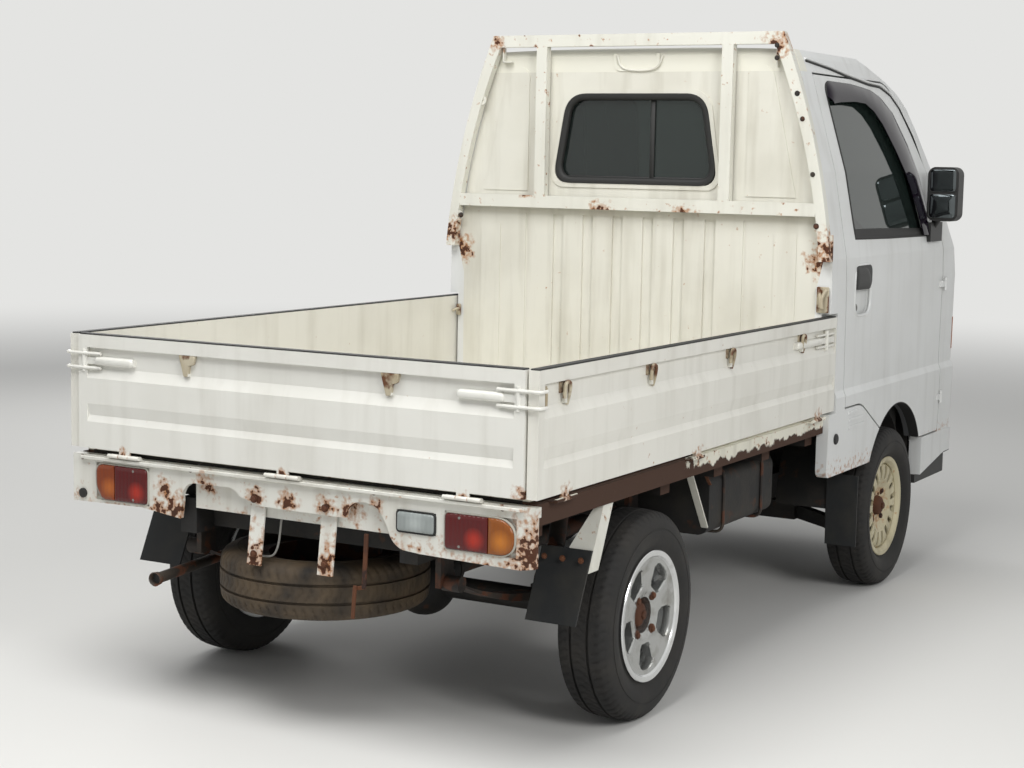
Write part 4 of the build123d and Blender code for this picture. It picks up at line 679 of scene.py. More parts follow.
for end, axle_y, bead_half, count, window, front_sheet, back_sheet, finish, slot in wheel_kinds:
    nut_seat = np.interp(nut_circle, [r for _, r in front_sheet], [a for a, _ in front_sheet])
    for side, sign in sides:
        centre = (sign * wheel_x, axle_y, wheel_z)
        out = (sign, 0, 0)
        body = f"wheel_{end}_{side}"
        disc = [wheel_disc(count, window, front_sheet, back_sheet, centre, sign, window_lead * sign)]
        ring = rim_ring(bead_half, centre, sign)
        if end == "front":
            disc.append(ring)
        else:
            alloy_rim = build(f"alloy_rim_{side}", [ring], bright_rim, body)
            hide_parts(f"rim_{end}_{side}")
        wheel = build(f"wheel_disc_{end}_{side}", disc, finish, body, 28.0)
        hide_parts(f"rim_{end}_{side}")
        hub_parts = [turned(hub_profile, centre, out, 32), turned(axle_nut, centre, out, 6)]
        for turn in np.arange(4) * math.pi / 2 + math.pi / 4:
            seat = np.array(centre) + (sign * (nut_seat - nut_sink), nut_circle * math.sin(turn),
                                       nut_circle * math.cos(turn))
            hub_parts += [turned(nut_cone, seat, out, 20), turned(nut_head, seat, out, 6)]
        build(f"hub_and_nuts_{end}_{side}", hub_parts, bare_rust, body)

# Cab body
# Pressed and welded steel sheet in white enamel: a cool white outside, and a creamier one on the
# back wall, which loads have rubbed. The wheelhouses are black inside and the sills rust.
arch_middle = (0.0, -0.915, 0.332)
arch_lip = 0.2945
cool_white = enamel("cool_white_enamel", "DADBD9", "8C887C", streaks=0.26, chips=0.84,
                    lower=(0.44, 0.52), spread=0.20)
# columns: x, z, reach of the rust spots on the back wall
wall_rust = [(0.64, 1.12, 0.05), (-0.65, 1.13, 0.06), (0.3, 0.67, 0.05), (-0.3, 0.67, 0.06),
             (0.0, 0.67, 0.04), (-0.6, 0.68, 0.06)]
wall_white = enamel("creamy_wall_enamel", "DAD8CD", "8F8873", streaks=0.42, chips=0.765, sheen=0.40,
                    spots=[(x, -0.235, z, reach) for x, z, reach in wall_rust])
inner_trim_x = 0.655
inner_trim_z = 1.12
fade_width = 0.001


def parts_of(tree, place):
    """The object's coordinates, one by one."""
    apart = add(tree, "ShaderNodeSeparateXYZ", None, {0: place}).outputs
    return apart["X"], apart["Y"], apart["Z"]


def plain_sum(tree, operation, first, second=0.0):
    """One sum on one or two values that may leave the range from 0 to 1."""
    return add(tree, "ShaderNodeMath", {"operation": operation}, {0: first, 1: second}).outputs[0]


def from_middle_plane(tree, place):
    """Distance from the plane that parts the truck's left from its right."""
    return plain_sum(tree, "ABSOLUTE", parts_of(tree, place)[0])


def distance_to(tree, place, flatten, point):
    """Distance to a point, with some axes left out by a factor of 0."""
    flat = add(tree, "ShaderNodeVectorMath", {"operation": "MULTIPLY"}, {0: place, 1: flatten})
    return add(tree, "ShaderNodeVectorMath", {"operation": "DISTANCE"},
               {0: flat.outputs[0], 1: point}).outputs["Value"]


def inside_arch(tree, place):
    """1 on the turned-in lip of a front wheel arch and in the wheelhouse behind it."""
    far = distance_to(tree, place, (0, 1, 1), arch_middle)
    return between(tree, far, arch_lip + fade_width, arch_lip)


def roof_rear(tree, place):
    """1 on the rear face of the roof, behind the seam with the back wall."""
    seam_from, seam_to = -0.290, -0.286
    return between(tree, parts_of(tree, place)[1], seam_from, seam_to)


overcoat(cool_white, inside_arch, "141312", 0.8)
roof_white = enamel("cool_white_roof_enamel", "DADBD9", "8C887C", streaks=0.26, chips=0.84)
overcoat(roof_white, roof_rear, "DEDCCF", 0.4)
door_white = enamel("cool_white_door_enamel", "DADBD9", "8C887C", streaks=0.22, chips=0.86,
                    lower=(0.44, 0.50), spread=0.20)
overcoat(door_white, inside_arch, "141312", 0.8)


def door_inside(tree, place):
    """1 on the trim card inside a door, below its window."""
    inward = between(tree, from_middle_plane(tree, place), inner_trim_x + fade_width, inner_trim_x)
    low = between(tree, parts_of(tree, place)[2], inner_trim_z + fade_width, inner_trim_z)
    return calc(tree, "MULTIPLY", inward, low)


overcoat(door_white, door_inside, "4A4B4C", 0.7)
bumper_white = enamel("cool_white_bumper_enamel", "D6D7D5", "8C887C", streaks=0.30, chips=0.86)


def air_dam(tree, place):
    """1 on the bumper's unpainted dam, below an edge that rises evenly to the front and levels
    out at its highest."""
    edge_start_y, edge_start_z, edge_rise, edge_highest = -1.20, 0.337, 0.184, 0.388
    _, y, z = parts_of(tree, place)
    risen = plain_sum(tree, "MULTIPLY", plain_sum(tree, "SUBTRACT", y, edge_start_y), edge_rise)
    edge = plain_sum(tree, "MINIMUM", plain_sum(tree, "SUBTRACT", edge_start_z, risen), edge_highest)
    return between(tree, plain_sum(tree, "SUBTRACT", z, edge), fade_width / 2, -fade_width / 2)


overcoat(bumper_white, air_dam, "2B2B2A", 0.6)
finish_nodes(roof_white, "roof")
finish_nodes(cool_white, "cab_front", "cab_side_left", "cab_side_right")
finish_nodes(door_white, "door_left", "door_right")
finish_nodes(bumper_white, "front_bumper")
finish_nodes(wall_white, "cab_back_wall")

# Half width of the cab's side at some levels, from which what is fixed to the side is worked out
# columns: level, half width
side_shape = np.array([(0.560, 0.692), (0.700, 0.6925), (0.722, 0.684), (1.040, 0.686), (1.135, 0.684),
                       (1.404, 0.641), (1.550, 0.602), (1.625, 0.582), (1.675, 0.569), (1.715, 0.558),
                       (1.757, 0.541), (1.810, 0.512)])


def on_side(line, sign, proud=0.0):
    """Points on a cab side for rows of (y, z): x is the half width at that level."""
    line = np.asarray(line, float)
    half = np.interp(line[:, 1], side_shape[:, 0], side_shape[:, 1])
    return np.column_stack([sign * (half + proud), line[:, 0], line[:, 1]])


def evenly(line, count):
    """A line's points spread again at even distances along it."""
    line = np.asarray(line, float)
    reach = np.concatenate([[0], np.cumsum(np.linalg.norm(np.diff(line, axis=0), axis=1))])
    wanted = np.linspace(0, reach[-1], count)
    return np.column_stack([np.interp(wanted, reach, line[:, axis]) for axis in range(line.shape[1])])


def solid_dye(name, code, second, rough, lump, depth):
    """Plastic or rubber dyed right through, a little faded in places, with a moulded grain."""
    made, tree, shader, place = blank(name)
    tree.links.new(mixed(tree, clouds(tree, place, 0.2), colour(code), colour(second)),
                   shader.inputs["Base Color"])
    shader.inputs["Roughness"].default_value = rough
    raised(tree, shader, clouds(tree, place, lump, 2.0), depth, 0.3)
    return made


black_plastic = solid_dye("grained_black_plastic", "161617", "242422", 0.50, 0.0018, 0.0004)
black_rubber = solid_dye("moulded_black_rubber", "121212", "1E1E1C", 0.62, 0.003, 0.0002)
smoked_acrylic = solid_dye("smoked_acrylic", "0E0812", "170C1E", 0.10, 0.3, 0.0001)
smoked_acrylic.node_tree.nodes["Principled BSDF"].inputs["Specular IOR Level"].default_value = 0.20
grey_plastic = solid_dye("grained_grey_plastic", "3C3D3E", "474746", 0.6, 0.0018, 0.0004)
finish_nodes(black_plastic, "door_fittings_left", "door_fittings_right", "steering_wheel")
finish_nodes(grey_plastic, "dashboard")


def zinc_plate():
    """Zinc-plated steel: grey and half dull, its blue shine long gone."""
    made, tree, shader, place = blank("zinc_plated_steel")
    tree.links.new(mixed(tree, clouds(tree, place, 0.2), colour("8C8C88"), colour("6F6C64")),
                   shader.inputs["Base Color"])
    shader.inputs["Roughness"].default_value = 0.42
    raised(tree, shader, clouds(tree, place, 0.01, 2.0), 0.0002, 0.3)
    return made


grey_steel = zinc_plate()

# Drip rails: a folded lip along each side of the roof and down the windscreen pillar, painted white,
# with a thin black bar just under it.
drip_line = [(-0.300, 1.752), (-0.320, 1.751), (-0.502, 1.736), (-0.658, 1.718), (-0.841, 1.702),
             (-0.959, 1.698), (-1.050, 1.674), (-1.120, 1.632), (-1.200, 1.545), (-1.265, 1.440),
             (-1.320, 1.325)]
rail_points = 60
tucked_points = 12
tuck = np.concatenate([np.zeros(rail_points - tucked_points), np.linspace(0, 0.012, tucked_points)])
under_rail = np.array((0.0, -0.0085))
rail_parts, under_rail_dark_parts = [], []
for sign in (-1, 1):
    line = evenly(drip_line, rail_points)
    inward = np.outer(tuck, (-sign, 0, 0))
    rail_parts.append(tube(on_side(line, sign, 0.002) + inward, 0.0042, 8))
    # A thin black bar just under each rail.
    under_rail_dark_parts.append(tube(on_side(line + under_rail, sign, 0.0004) + inward, 0.0036, 6))
build("drip_rails", rail_parts, cool_white, "root")
build("drip_rail_sealer", under_rail_dark_parts, black_rubber, "root")

# Mirrors
# A flat silvered glass over a wide-angle one in the rear face of each housing, each glass in a
# thin black frame. Each mirror is built together with its door's trim.
mirror_x = 0.729
facing_rear = ((1, 0, 0), (0, 0, 1), (0, 1, 0))
mirror_face = ((0, -1.194, 0), *facing_rear)
glass_half, frame_half = 0.046, 0.049
mirror_frame_levels = [(0, -0.002), (0, 0.002), (0.0015, 0.003), (0.003, 0.002), (0.0035, -0.002)]


def silvered_glass(name):
    """Silvered mirror glass: a bright reflection, a little dark and dusty."""
    made, tree, shader, place = blank(name)
    tree.links.new(mixed(tree, clouds(tree, place, 0.05), colour("6E7476"), colour("5A5F60")),
                   shader.inputs["Base Color"])
    shader.inputs["Metallic"].default_value = 1.0
    shader.inputs["Roughness"].default_value = 0.05
    return made


def build_mirror(side, sign):
    """Builds both glasses of one door's mirror and their frames."""
    middle = sign * mirror_x
    glasses, frames = [], []
    for z_low, z_high, bulge in ((1.341, 1.417, 0.0004), (1.250, 1.331, 0.0030)):
        outline = box_outline(middle - glass_half, middle + glass_half, z_low, z_high, 0.014, 5)
        glass_levels = [(0, -0.004), (0, 0.0010), (0.002, 0.0018), (0.014, 0.0018 + bulge / 2),
                        (0.028, 0.0018 + bulge)]
        glasses.append(pillow(outline, glass_levels, *mirror_face))
    build(f"mirror_glass_{side}", glasses, silvered_glass(f"silvered_mirror_glass_{side}"),
          f"door_{side}", 30.0)
    for z_low, z_high in ((1.338, 1.420), (1.247, 1.334)):
        outline = box_outline(middle - frame_half, middle + frame_half, z_low, z_high, 0.016, 5)
        frames.append(pillow(outline, mirror_frame_levels, *mirror_face, hollow=True))
    build(f"mirror_frame_{side}", frames, black_plastic, f"door_{side}", 50.0)


# Door trim
# Each door's window sits in black rubber, with a weather strip along its foot and a smoked
# acrylic visor stuck over its top. The handle is a flap in a dished pocket, with a lock below it.
window_line = [(-0.416, 1.640), (-0.428, 1.676), (-0.455, 1.684), (-0.650, 1.677), (-0.850, 1.669),
               (-0.930, 1.646), (-0.985, 1.590), (-1.106, 1.379), (-1.194, 1.188)]
foot_line = [(-1.194, 1.188), (-0.800, 1.190), (-0.464, 1.195)]
rear_line = [(-0.464, 1.195), (-0.440, 1.400), (-0.416, 1.640)]
visor_outer = [(-0.413, 1.640), (-0.425, 1.680), (-0.450, 1.690), (-0.672, 1.689), (-0.850, 1.677),
               (-0.940, 1.656), (-1.040, 1.606), (-1.130, 1.500), (-1.200, 1.370), (-1.245, 1.260),
               (-1.272, 1.190)]
visor_inner = [(-0.438, 1.618), (-0.500, 1.624), (-0.640, 1.631), (-0.740, 1.628), (-0.810, 1.605),
               (-0.875, 1.562), (-0.954, 1.477), (-1.046, 1.352), (-1.110, 1.251), (-1.138, 1.190)]
strip_low_line = [(-1.270, 1.180), (-0.464, 1.189)]
strip_high_line = [(-1.250, 1.212), (-0.700, 1.222), (-0.466, 1.224)]
strip_points = 20
corner_patch = [(-0.470, 1.222), (-0.600, 1.222), (-0.540, 1.243), (-0.500, 1.262), (-0.472, 1.275)]
visor_points = 70
visor_rows = 7
visor_bow = 0.006
visor_thick = 0.0028
handle_x = 0.6855
pocket = box_outline(-0.604, -0.448, 0.947, 1.110, 0.05, 8)
pocket_levels = [(-0.004, 0.0), (-0.002, 0.0025), (0.001, 0.0032), (0.004, 0.0018), (0.006, -0.004),
                 (-0.002, -0.004)]
flap = ([(-0.598, 1.060), (-0.590, 1.030), (-0.456, 1.032), (-0.453, 1.104), (-0.560, 1.104)],
        [0.03, 0.012, 0.008, 0.02, 0.04], 6)
flap_levels = [(0.001, -0.010), (0, 0.001), (0.003, 0.0038), (0.010, 0.0052), (0.022, 0.0058)]
lock_x = handle_x - 0.017
lock_profile = [(0, 0), (0, 0.0125), (0.004, 0.0125), (0.0055, 0.0105), (0.0055, 0)]


def capped(grid):
    """Closed shell from a grid whose rows wrap: its two open ends are filled."""
    points, faces = skin(grid, wrap_rows=True)
    rows, columns = grid.shape[:2]
    first_end = np.arange(rows) * columns
    return points, faces + [first_end.tolist(), (first_end + columns - 1).tolist()]


for side, sign in sides:
    body = f"door_{side}"
    rubber_line = np.vstack([evenly(window_line, 60), evenly(foot_line, 12)[1:],
                             evenly(rear_line, 16)[1:-1]])
    trim = [tube(on_side(rubber_line, sign, -0.003), 0.0060, 8, closed=True)]
    strip_low = evenly(on_side(strip_low_line, sign, -0.001), strip_points)
    strip_high = evenly(on_side(strip_high_line, sign, -0.004), strip_points)
    inward = np.array((-sign * 0.010, 0, 0))
    strip_middle = (strip_low + strip_high) / 2 - 0.4 * inward
    trim.append(capped(np.stack([strip_low, strip_middle, strip_high, strip_high + inward,
                                 strip_low + inward])))
    patch = on_side(corner_patch, sign, -0.0165)
    points, faces = skin(np.stack([patch, patch + (sign * 0.0035, 0, 0)]), wrap_columns=True)
    trim.append((points, faces + [list(range(5)), list(range(5, 10))]))
    build(f"door_window_rubber_{side}", trim, black_rubber, body)

    share = np.linspace(0, 1, visor_rows)[:, None, None]
    outer_edge = on_side(evenly(visor_outer, visor_points), sign, 0.001)[None]
    inner_edge = on_side(evenly(visor_inner, visor_points), sign, 0.013)[None]
    sheet = outer_edge * (1 - share) + inner_edge * share
    sheet[..., 0] += sign * visor_bow * np.sin(math.pi * share[..., 0]) ** 0.8
    visor = capped(np.concatenate([sheet, (sheet - (sign * visor_thick, 0, 0))[::-1]]))
    build(f"door_visor_{side}", [visor], smoked_acrylic, body)

    outward = ((sign * handle_x, 0, 0), (0, 1, 0), (0, 0, 1), (sign, 0, 0))
    bezel = pillow(pocket, pocket_levels, *outward, hollow=True)
    build(f"door_handle_rim_{side}", [bezel], door_white, body, 50.0)
    build(f"door_handle_flap_{side}", [pillow(flap, flap_levels, *outward)], black_plastic, body,
          50.0)
    lock = turned(lock_profile, (sign * lock_x, -0.500, 0.972), (sign, 0, 0))
    build(f"door_lock_{side}", [lock], grey_steel, body)
    # Painted shade: a thin black plate on the lock's face stands for the dark key slot.
    keyhole_shade = plate((sign * (lock_x + 0.0050), -0.5012, 0.965), (sign * (lock_x + 0.0060), -0.4988, 0.979),
                 0, 0.001, 0.0002)
    build(f"door_keyhole_{side}", [keyhole_shade], black_rubber, body)
    build_mirror(side, sign)

# Glass
# Tempered float glass with a grey-green tint, held in black rubber. From outside it looks dark,
# with clear reflections.


def tinted_glass():
    """Tempered float glass: a dark grey-green pane that lets some light through."""
    made, _, shader, _ = blank("tinted_float_glass")
    shader.inputs["Base Color"].default_value = colour("56625E")
    shader.inputs["Roughness"].default_value = 0.02
    shader.inputs["IOR"].default_value = 1.52
    shader.inputs["Transmission Weight"].default_value = 0.88
    return made


pane = tinted_glass()
finish_nodes(pane, "windscreen", "rear_window", "door_glass_left", "door_glass_right")
back_window = ([(-0.292, 1.354), (0.292, 1.354), (0.244, 1.638), (-0.244, 1.638)], 0.066, 10)
seal_section = [(0.018, -0.014), (0.018, -0.004), (0.014, 0.001), (0.006, 0.003), (-0.002, 0.0025),
                (-0.004, -0.001), (-0.002, -0.006), (0.004, -0.014)]
back_wall_y = -0.2305
seal = pillow(back_window, seal_section, (0, back_wall_y, 0), *facing_rear, hollow=True)
mullion = plate((-0.066, -0.2500, 1.362), (-0.051, -0.2430, 1.630), 1, 0.002)
sash_low = plate((-0.270, -0.2490, 1.362), (0.270, -0.2450, 1.376), 1, 0.002)
build("rear_window_seal", [seal, mullion, sash_low], black_rubber, "root", 50.0)
grip_y = -0.2325
grip = bent([(x, grip_y, z) for x, z in ((0.068, 1.762), (0.056, 1.720), (-0.014, 1.712),
                                        (-0.080, 1.720), (-0.092, 1.762))])
build("wall_grip_bead", [tube(grip, 0.0045, 8)], wall_white, "root", 60.0)

# Windscreen rubber and wipers: two arms on pivots under the glass, with rubber blades. Each point
# is found on the body or the glass by a ray from the front.


def seen_from_front(x, z, proud, *names):
    """Point on the first of the named solids that a ray along +Y meets at (x, z), moved out along
    the surface's normal."""
    hits = []
    for name in names:
        found, at, normal, _ = bpy.data.objects[name].ray_cast((x, -3.0, z), (0, 1, 0))
        if found:
            hits.append((at.y, np.array(at) + proud * np.array(normal)))
    return min(hits, key=lambda hit: hit[0])[1]


screen_corners = rounded([(-0.612, 1.168), (0.612, 1.168), (0.484, 1.672), (-0.484, 1.672)], 0.05, 6,
                         -0.005)
screen_ring = np.concatenate([evenly([here, there], 6)[:-1]
                              for here, there in zip(screen_corners, np.roll(screen_corners, -1, 0))])
rubber_path = [seen_from_front(x, z, 0.0005, "cab_front", "roof", "windscreen") for x, z in screen_ring]
build("windscreen_rubber", [tube(rubber_path, 0.0065, 8, closed=True)], black_rubber, "root",
      60.0)


def along_glass(start, end, count, proud, radius):
    """Bar that lies along the windscreen between two points (x, z) as seen from the front."""
    line = np.linspace(start, end, count)
    return tube([seen_from_front(x, z, proud, "windscreen") for x, z in line], radius, 8)


wiper_boss = [(0, 0), (0, 0.015), (0.014, 0.013), (0.018, 0.008), (0.018, 0)]
wiper_parts = []
for pivot_x in (0.420, -0.080):
    blade_near, blade_far = pivot_x - 0.080, pivot_x - 0.470
    hub = seen_from_front(pivot_x, 1.150, 0.0, "cab_front")
    elbow = seen_from_front(pivot_x - 0.06, 1.176, 0.020, "cab_front", "windscreen")
    tip = seen_from_front(pivot_x - 0.300, 1.232, 0.016, "windscreen")
    wiper_parts += [
        tube(bent([hub - (0, 0.014, 0), elbow, tip], 2), 0.0050, 8),
        turned(wiper_boss, hub, (0, -1, 0.6), 20),
        along_glass((blade_near, 1.206), (blade_far, 1.252), 14, 0.0060, 0.0042),
        along_glass((blade_near - 0.03, 1.210), (blade_far + 0.03, 1.248), 10, 0.0125, 0.0032),
    ]
build("wipers", wiper_parts, black_plastic, "root", 60.0)

# Seats
# Two foam seats on steel pans, each with a cushion, a back and a headrest in dark woven cloth.
# The left one's pads are blown up first and then mirrored to the right.


def woven_cloth():
    """Plain-woven polyester seat cloth: dark grey and matt, with threads drawn 6 mm apart, coarser
    than the real half millimetre so that they show."""
    made, tree, shader, place = blank("woven_seat_cloth")
    tone = mixed(tree, clouds(tree, place, 0.15), colour("37373A"), colour("44433F"))
    tree.links.new(tone, shader.inputs["Base Color"])
    shader.inputs["Roughness"].default_value = 0.92
    shader.inputs["Sheen Weight"].default_value = 0.3
    thread_scale = 52.0
    threads, cross_threads = [
        add(tree, "ShaderNodeTexWave", {"wave_type": "BANDS", "bands_direction": direction},
            {"Vector": place, "Scale": thread_scale}).outputs["Fac"] for direction in ("X", "DIAGONAL")]
    raised(tree, shader, calc(tree, "MULTIPLY", threads, cross_threads), 0.0006)
    return made


seat_cloth = woven_cloth()


def pad(name, middle, half, lean, crown, material):
    """Foam pad: a rounded box in three half sizes, crowned above and below, leaned back about X.
    Its points are a sphere's, drawn seven tenths of the way out to a cube."""
    rows, columns = 40, 64
    down = np.linspace(0, math.pi, rows)[:, None]
    turn = np.linspace(0, 2 * math.pi, columns, endpoint=False)[None]
    ball = np.stack([np.sin(down) * np.cos(turn), np.sin(down) * np.sin(turn),
                     np.cos(down) * np.ones_like(turn)], axis=-1)
    boxy = 0.70
    cube = ball / np.max(np.abs(ball), axis=-1, keepdims=True)
    shape = cube * boxy + ball * (1 - boxy)
    shape[..., 2] += crown * (1 - shape[..., 0] ** 2) * (1 - shape[..., 1] ** 2) * np.sign(shape[..., 2])
    local = shape * np.array(half)
    tilt = math.radians(lean)
    y = local[..., 1] * math.cos(tilt) - local[..., 2] * math.sin(tilt)
    z = local[..., 1] * math.sin(tilt) + local[..., 2] * math.cos(tilt)
    points = np.stack([local[..., 0], y, z], axis=-1) + np.array(middle)
    return build(name, [skin(points, wrap_columns=True)], material, "root", 60.0)


def swell(piece, voxel, pressure, cap):
    """Blows a pad up as foam under cloth does: remeshed evenly, then swollen by Cloth with no
    gravity, each point's move cut to the cap where it is longer."""
    remesh = piece.modifiers.new("even", "REMESH")
    remesh.mode = "VOXEL"
    remesh.voxel_size = voxel
    bpy.context.view_layer.objects.active = piece
    bpy.ops.object.modifier_apply(modifier="even")
    count = len(piece.data.vertices)
    before = np.zeros(count * 3)
    piece.data.vertices.foreach_get("co", before)
    cloth = piece.modifiers.new("swell", "CLOTH")
    cloth.settings.use_pressure = True
    cloth.settings.uniform_pressure_force = pressure
    cloth.settings.effector_weights.gravity = 0
    last_frame = 20
    cloth.point_cache.frame_start = 1
    cloth.point_cache.frame_end = last_frame
    scene = bpy.context.scene
    for step in range(1, last_frame + 1):
        scene.frame_set(step)
    evaluated = piece.evaluated_get(bpy.context.evaluated_depsgraph_get())
    after = np.zeros(count * 3)
    evaluated.data.vertices.foreach_get("co", after)
    piece.modifiers.remove(cloth)
    scene.frame_set(1)
    move = (after - before).reshape(-1, 3)
    length = np.linalg.norm(move, axis=1, keepdims=True)
    move *= np.minimum(1, cap / np.maximum(length, 1e-9))
    piece.data.vertices.foreach_set("co", (before.reshape(-1, 3) + move).reshape(-1))
    piece.data.update()
    piece.data.shade_smooth()


def mirrored(piece, name):
    """The same piece on the truck's other side."""
    mesh = piece.data.copy()
    mesh.name = name
    mesh.transform(Matrix.Diagonal((-1, 1, 1, 1)))
    mesh.flip_normals()
    copy = bpy.data.objects.new(name, mesh)
    bpy.context.scene.collection.objects.link(copy)
    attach(copy, "root")
    return copy


seat_x = 0.318
pad_voxel = 0.008
pad_pressure = 2.0
pad_swell = 0.006
# columns: part, middle, half sizes, lean in degrees
pads = (("cushion", (seat_x, -0.768, 0.764), (0.216, 0.240, 0.054), 3.0),
        ("back", (seat_x, -0.512, 0.985), (0.216, 0.226, 0.048), 101.5),
        ("headrest", (seat_x, -0.462, 1.175), (0.120, 0.050, 0.042), 98.0))
for part, middle, half, lean in pads:
    piece = pad(f"seat_{part}_left", middle, half, lean, 0.10, seat_cloth)
    swell(piece, pad_voxel, pad_pressure, pad_swell)
    for made, node in ((piece, "seat_left"), (mirrored(piece, f"seat_{part}_right"), "seat_right")):
        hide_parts(node)
recliner_boss = [(0, 0), (0, 0.028), (0.006, 0.030), (0.010, 0.026), (0.010, 0)]
for side, sign in sides:
    middle = sign * seat_x
    pan = [plate((middle - 0.20, -0.98, 0.7005), (middle + 0.20, -0.52, 0.722), 2, 0.03, 0.002)]
    for post_x in (middle - 0.05, middle + 0.05):
        pan.append(tube([(post_x, -0.470, 1.10), (post_x, -0.466, 1.15)], 0.006, 10))
    for boss_x in (middle - 0.219, middle + 0.209):
        pan.append(turned(recliner_boss, (boss_x, -0.535, 0.775), (1, 0, 0), 20))
    build(f"seat_frame_{side}", pan, black_plastic, "root")

# Bed
# Steel floor with pressed ribs on cross bearers, edged by a folded sill that carries the gates'
# hinges. The enamel is creamy and scraped above; below, the sill and bearers have rusted through.
bed_white = enamel("creamy_bed_enamel", "DEDBCC", "8F8873", streaks=0.50, chips=0.66, sheen=0.42)


def eaten_sill(tree, place):
    """1 on the bed's sill and bearers below a ragged line, and on the whole sill behind the
    rear wheels' front edge."""
    _, y, z = parts_of(tree, place)
    ragged = clouds(tree, place, 0.045, 8.0)
    ragged_z = plain_sum(tree, "ADD", z, plain_sum(tree, "MULTIPLY", ragged, 0.06))
    ragged_y = plain_sum(tree, "ADD", y, plain_sum(tree, "MULTIPLY", ragged, 0.5))
    low = between(tree, ragged_z, 0.652, 0.646)
    rear = between(tree, ragged_y, 0.98, 1.00)
    under = between(tree, z, 0.6550, 0.6535)
    return calc(tree, "MAXIMUM", low, calc(tree, "MULTIPLY", rear, under))


def under_bed(tree, place):
    """1 on what faces the road, below the bed's floor and inside its sill."""
    sill_inner_x, floor_under_z = 0.6375, 0.6555
    inside_sill = between(tree, from_middle_plane(tree, place), sill_inner_x + fade_width, sill_inner_x)
    below_floor = between(tree, parts_of(tree, place)[2], floor_under_z + fade_width / 2, floor_under_z)
    return calc(tree, "MULTIPLY", inside_sill, below_floor)


overcoat(bed_white, eaten_sill, "3B2416", 0.9)
overcoat(bed_white, under_bed, "1B1713", 0.85)
finish_nodes(bed_white, "bed")

# Gates
# Three hinged side boards of pressed steel in white enamel, with a black rubber strip on their
# top rails, tie-down hooks in the sunk band and sprung latch levers at their ends.
side_hinge_ys = (-0.144, 0.748, 1.498)
tail_hinge_xs = (-0.499, 0.010, 0.507)
side_axis_x = 0.6925
tail_axis_y = 1.6425
hinge_axis_z = 0.6505
gate_spots = [(sign * side_axis_x, y, 0.645, 0.040) for sign in (-1, 1) for y in side_hinge_ys]
tail_spots = [(x, 1.642, 0.645, 0.028) for x in tail_hinge_xs] + [(-0.655, 1.64, 0.66, 0.035)]
gate_white = enamel("white_gate_enamel", "E0DED5", "8F8873", streaks=0.26, chips=0.78,
                    spots=gate_spots, sheen=0.26)
tail_white = enamel("white_tailgate_enamel", "E0DFD8", "8F8873", streaks=0.24, chips=0.79,
                    spots=tail_spots, sheen=0.26)
finish_nodes(gate_white, "side_gate_left", "side_gate_right")
finish_nodes(tail_white, "tailgate")
rail_top = 0.9565
strip_top = 0.9605
strip_inset = 0.0015
strip_end = 0.004
gate_face_x = 0.690
gate_inner_x = 0.663
gate_front_y = -0.282
gate_rear_y = 1.634
tail_face_y = 1.640
tail_inner_y = 1.613
tail_half = 0.658
tail_strip = plate((-tail_half + strip_end, tail_inner_y + strip_inset, rail_top),
                   (tail_half - strip_end, tail_face_y - strip_inset, strip_top), 2, 0.002, 0.0012)
build("tailgate_rubber_strip", [tail_strip], black_rubber, "tailgate")


def flat_bar(start, end, width, thick, across):
    """Flat bar between two points: a rounded rectangle laid along the run, as wide as given
    across it."""
    start, across = np.asarray(start, float), np.asarray(across, float)
    run = np.asarray(end, float) - start
    length = np.linalg.norm(run)
    run /= length
    outline = box_outline(-width / 2, width / 2, 0, length, min(width * 0.2, 0.004))
    edge = min(thick * 0.3, 0.001)
    return pillow(outline, [(edge, 0), (0, edge), (0, thick - edge), (edge, thick)], start, across, run,
                  np.cross(across, run))


def lever_bar(start, end, out):
    """Latch lever: a pressed bar, rounded across, between two points at one height."""
    half_width = 0.0112
    start = np.asarray(start, float)
    run = np.asarray(end, float) - start
    length = np.linalg.norm(run)
    outline = box_outline(0, length, -half_width, half_width, half_width, 8)
    levels = [(0, 0), (0, 0.0070), (0.0012, 0.0100), (0.0035, 0.0128), (0.0065, 0.0143)]
    return pillow(outline, levels, start, run / length, (0, 0, 1), out)


def pin(half_length, radius, middle):
    """Upright pin with flat ends, round a middle."""
    return turned([(-half_length, 0), (-half_length, radius), (half_length, radius), (half_length, 0)],
                  middle, (0, 0, 1), 16)


side_hooks = (0.004, 0.541, 1.043, 1.502)
tail_hooks = (-0.296, 0.305)
band_x = gate_face_x - 0.011
band_y = tail_face_y - 0.011
latch_z = 0.891
# columns: distance from the sunk band, place along the gate from the hook's middle, height
side_hook_line = [(0.004, -0.013, 0.868), (0.0125, -0.013, 0.900), (0.0135, -0.012, 0.921),
                  (0.0135, 0.010, 0.921), (0.0125, 0.011, 0.905), (0.0115, 0.012, 0.884)]
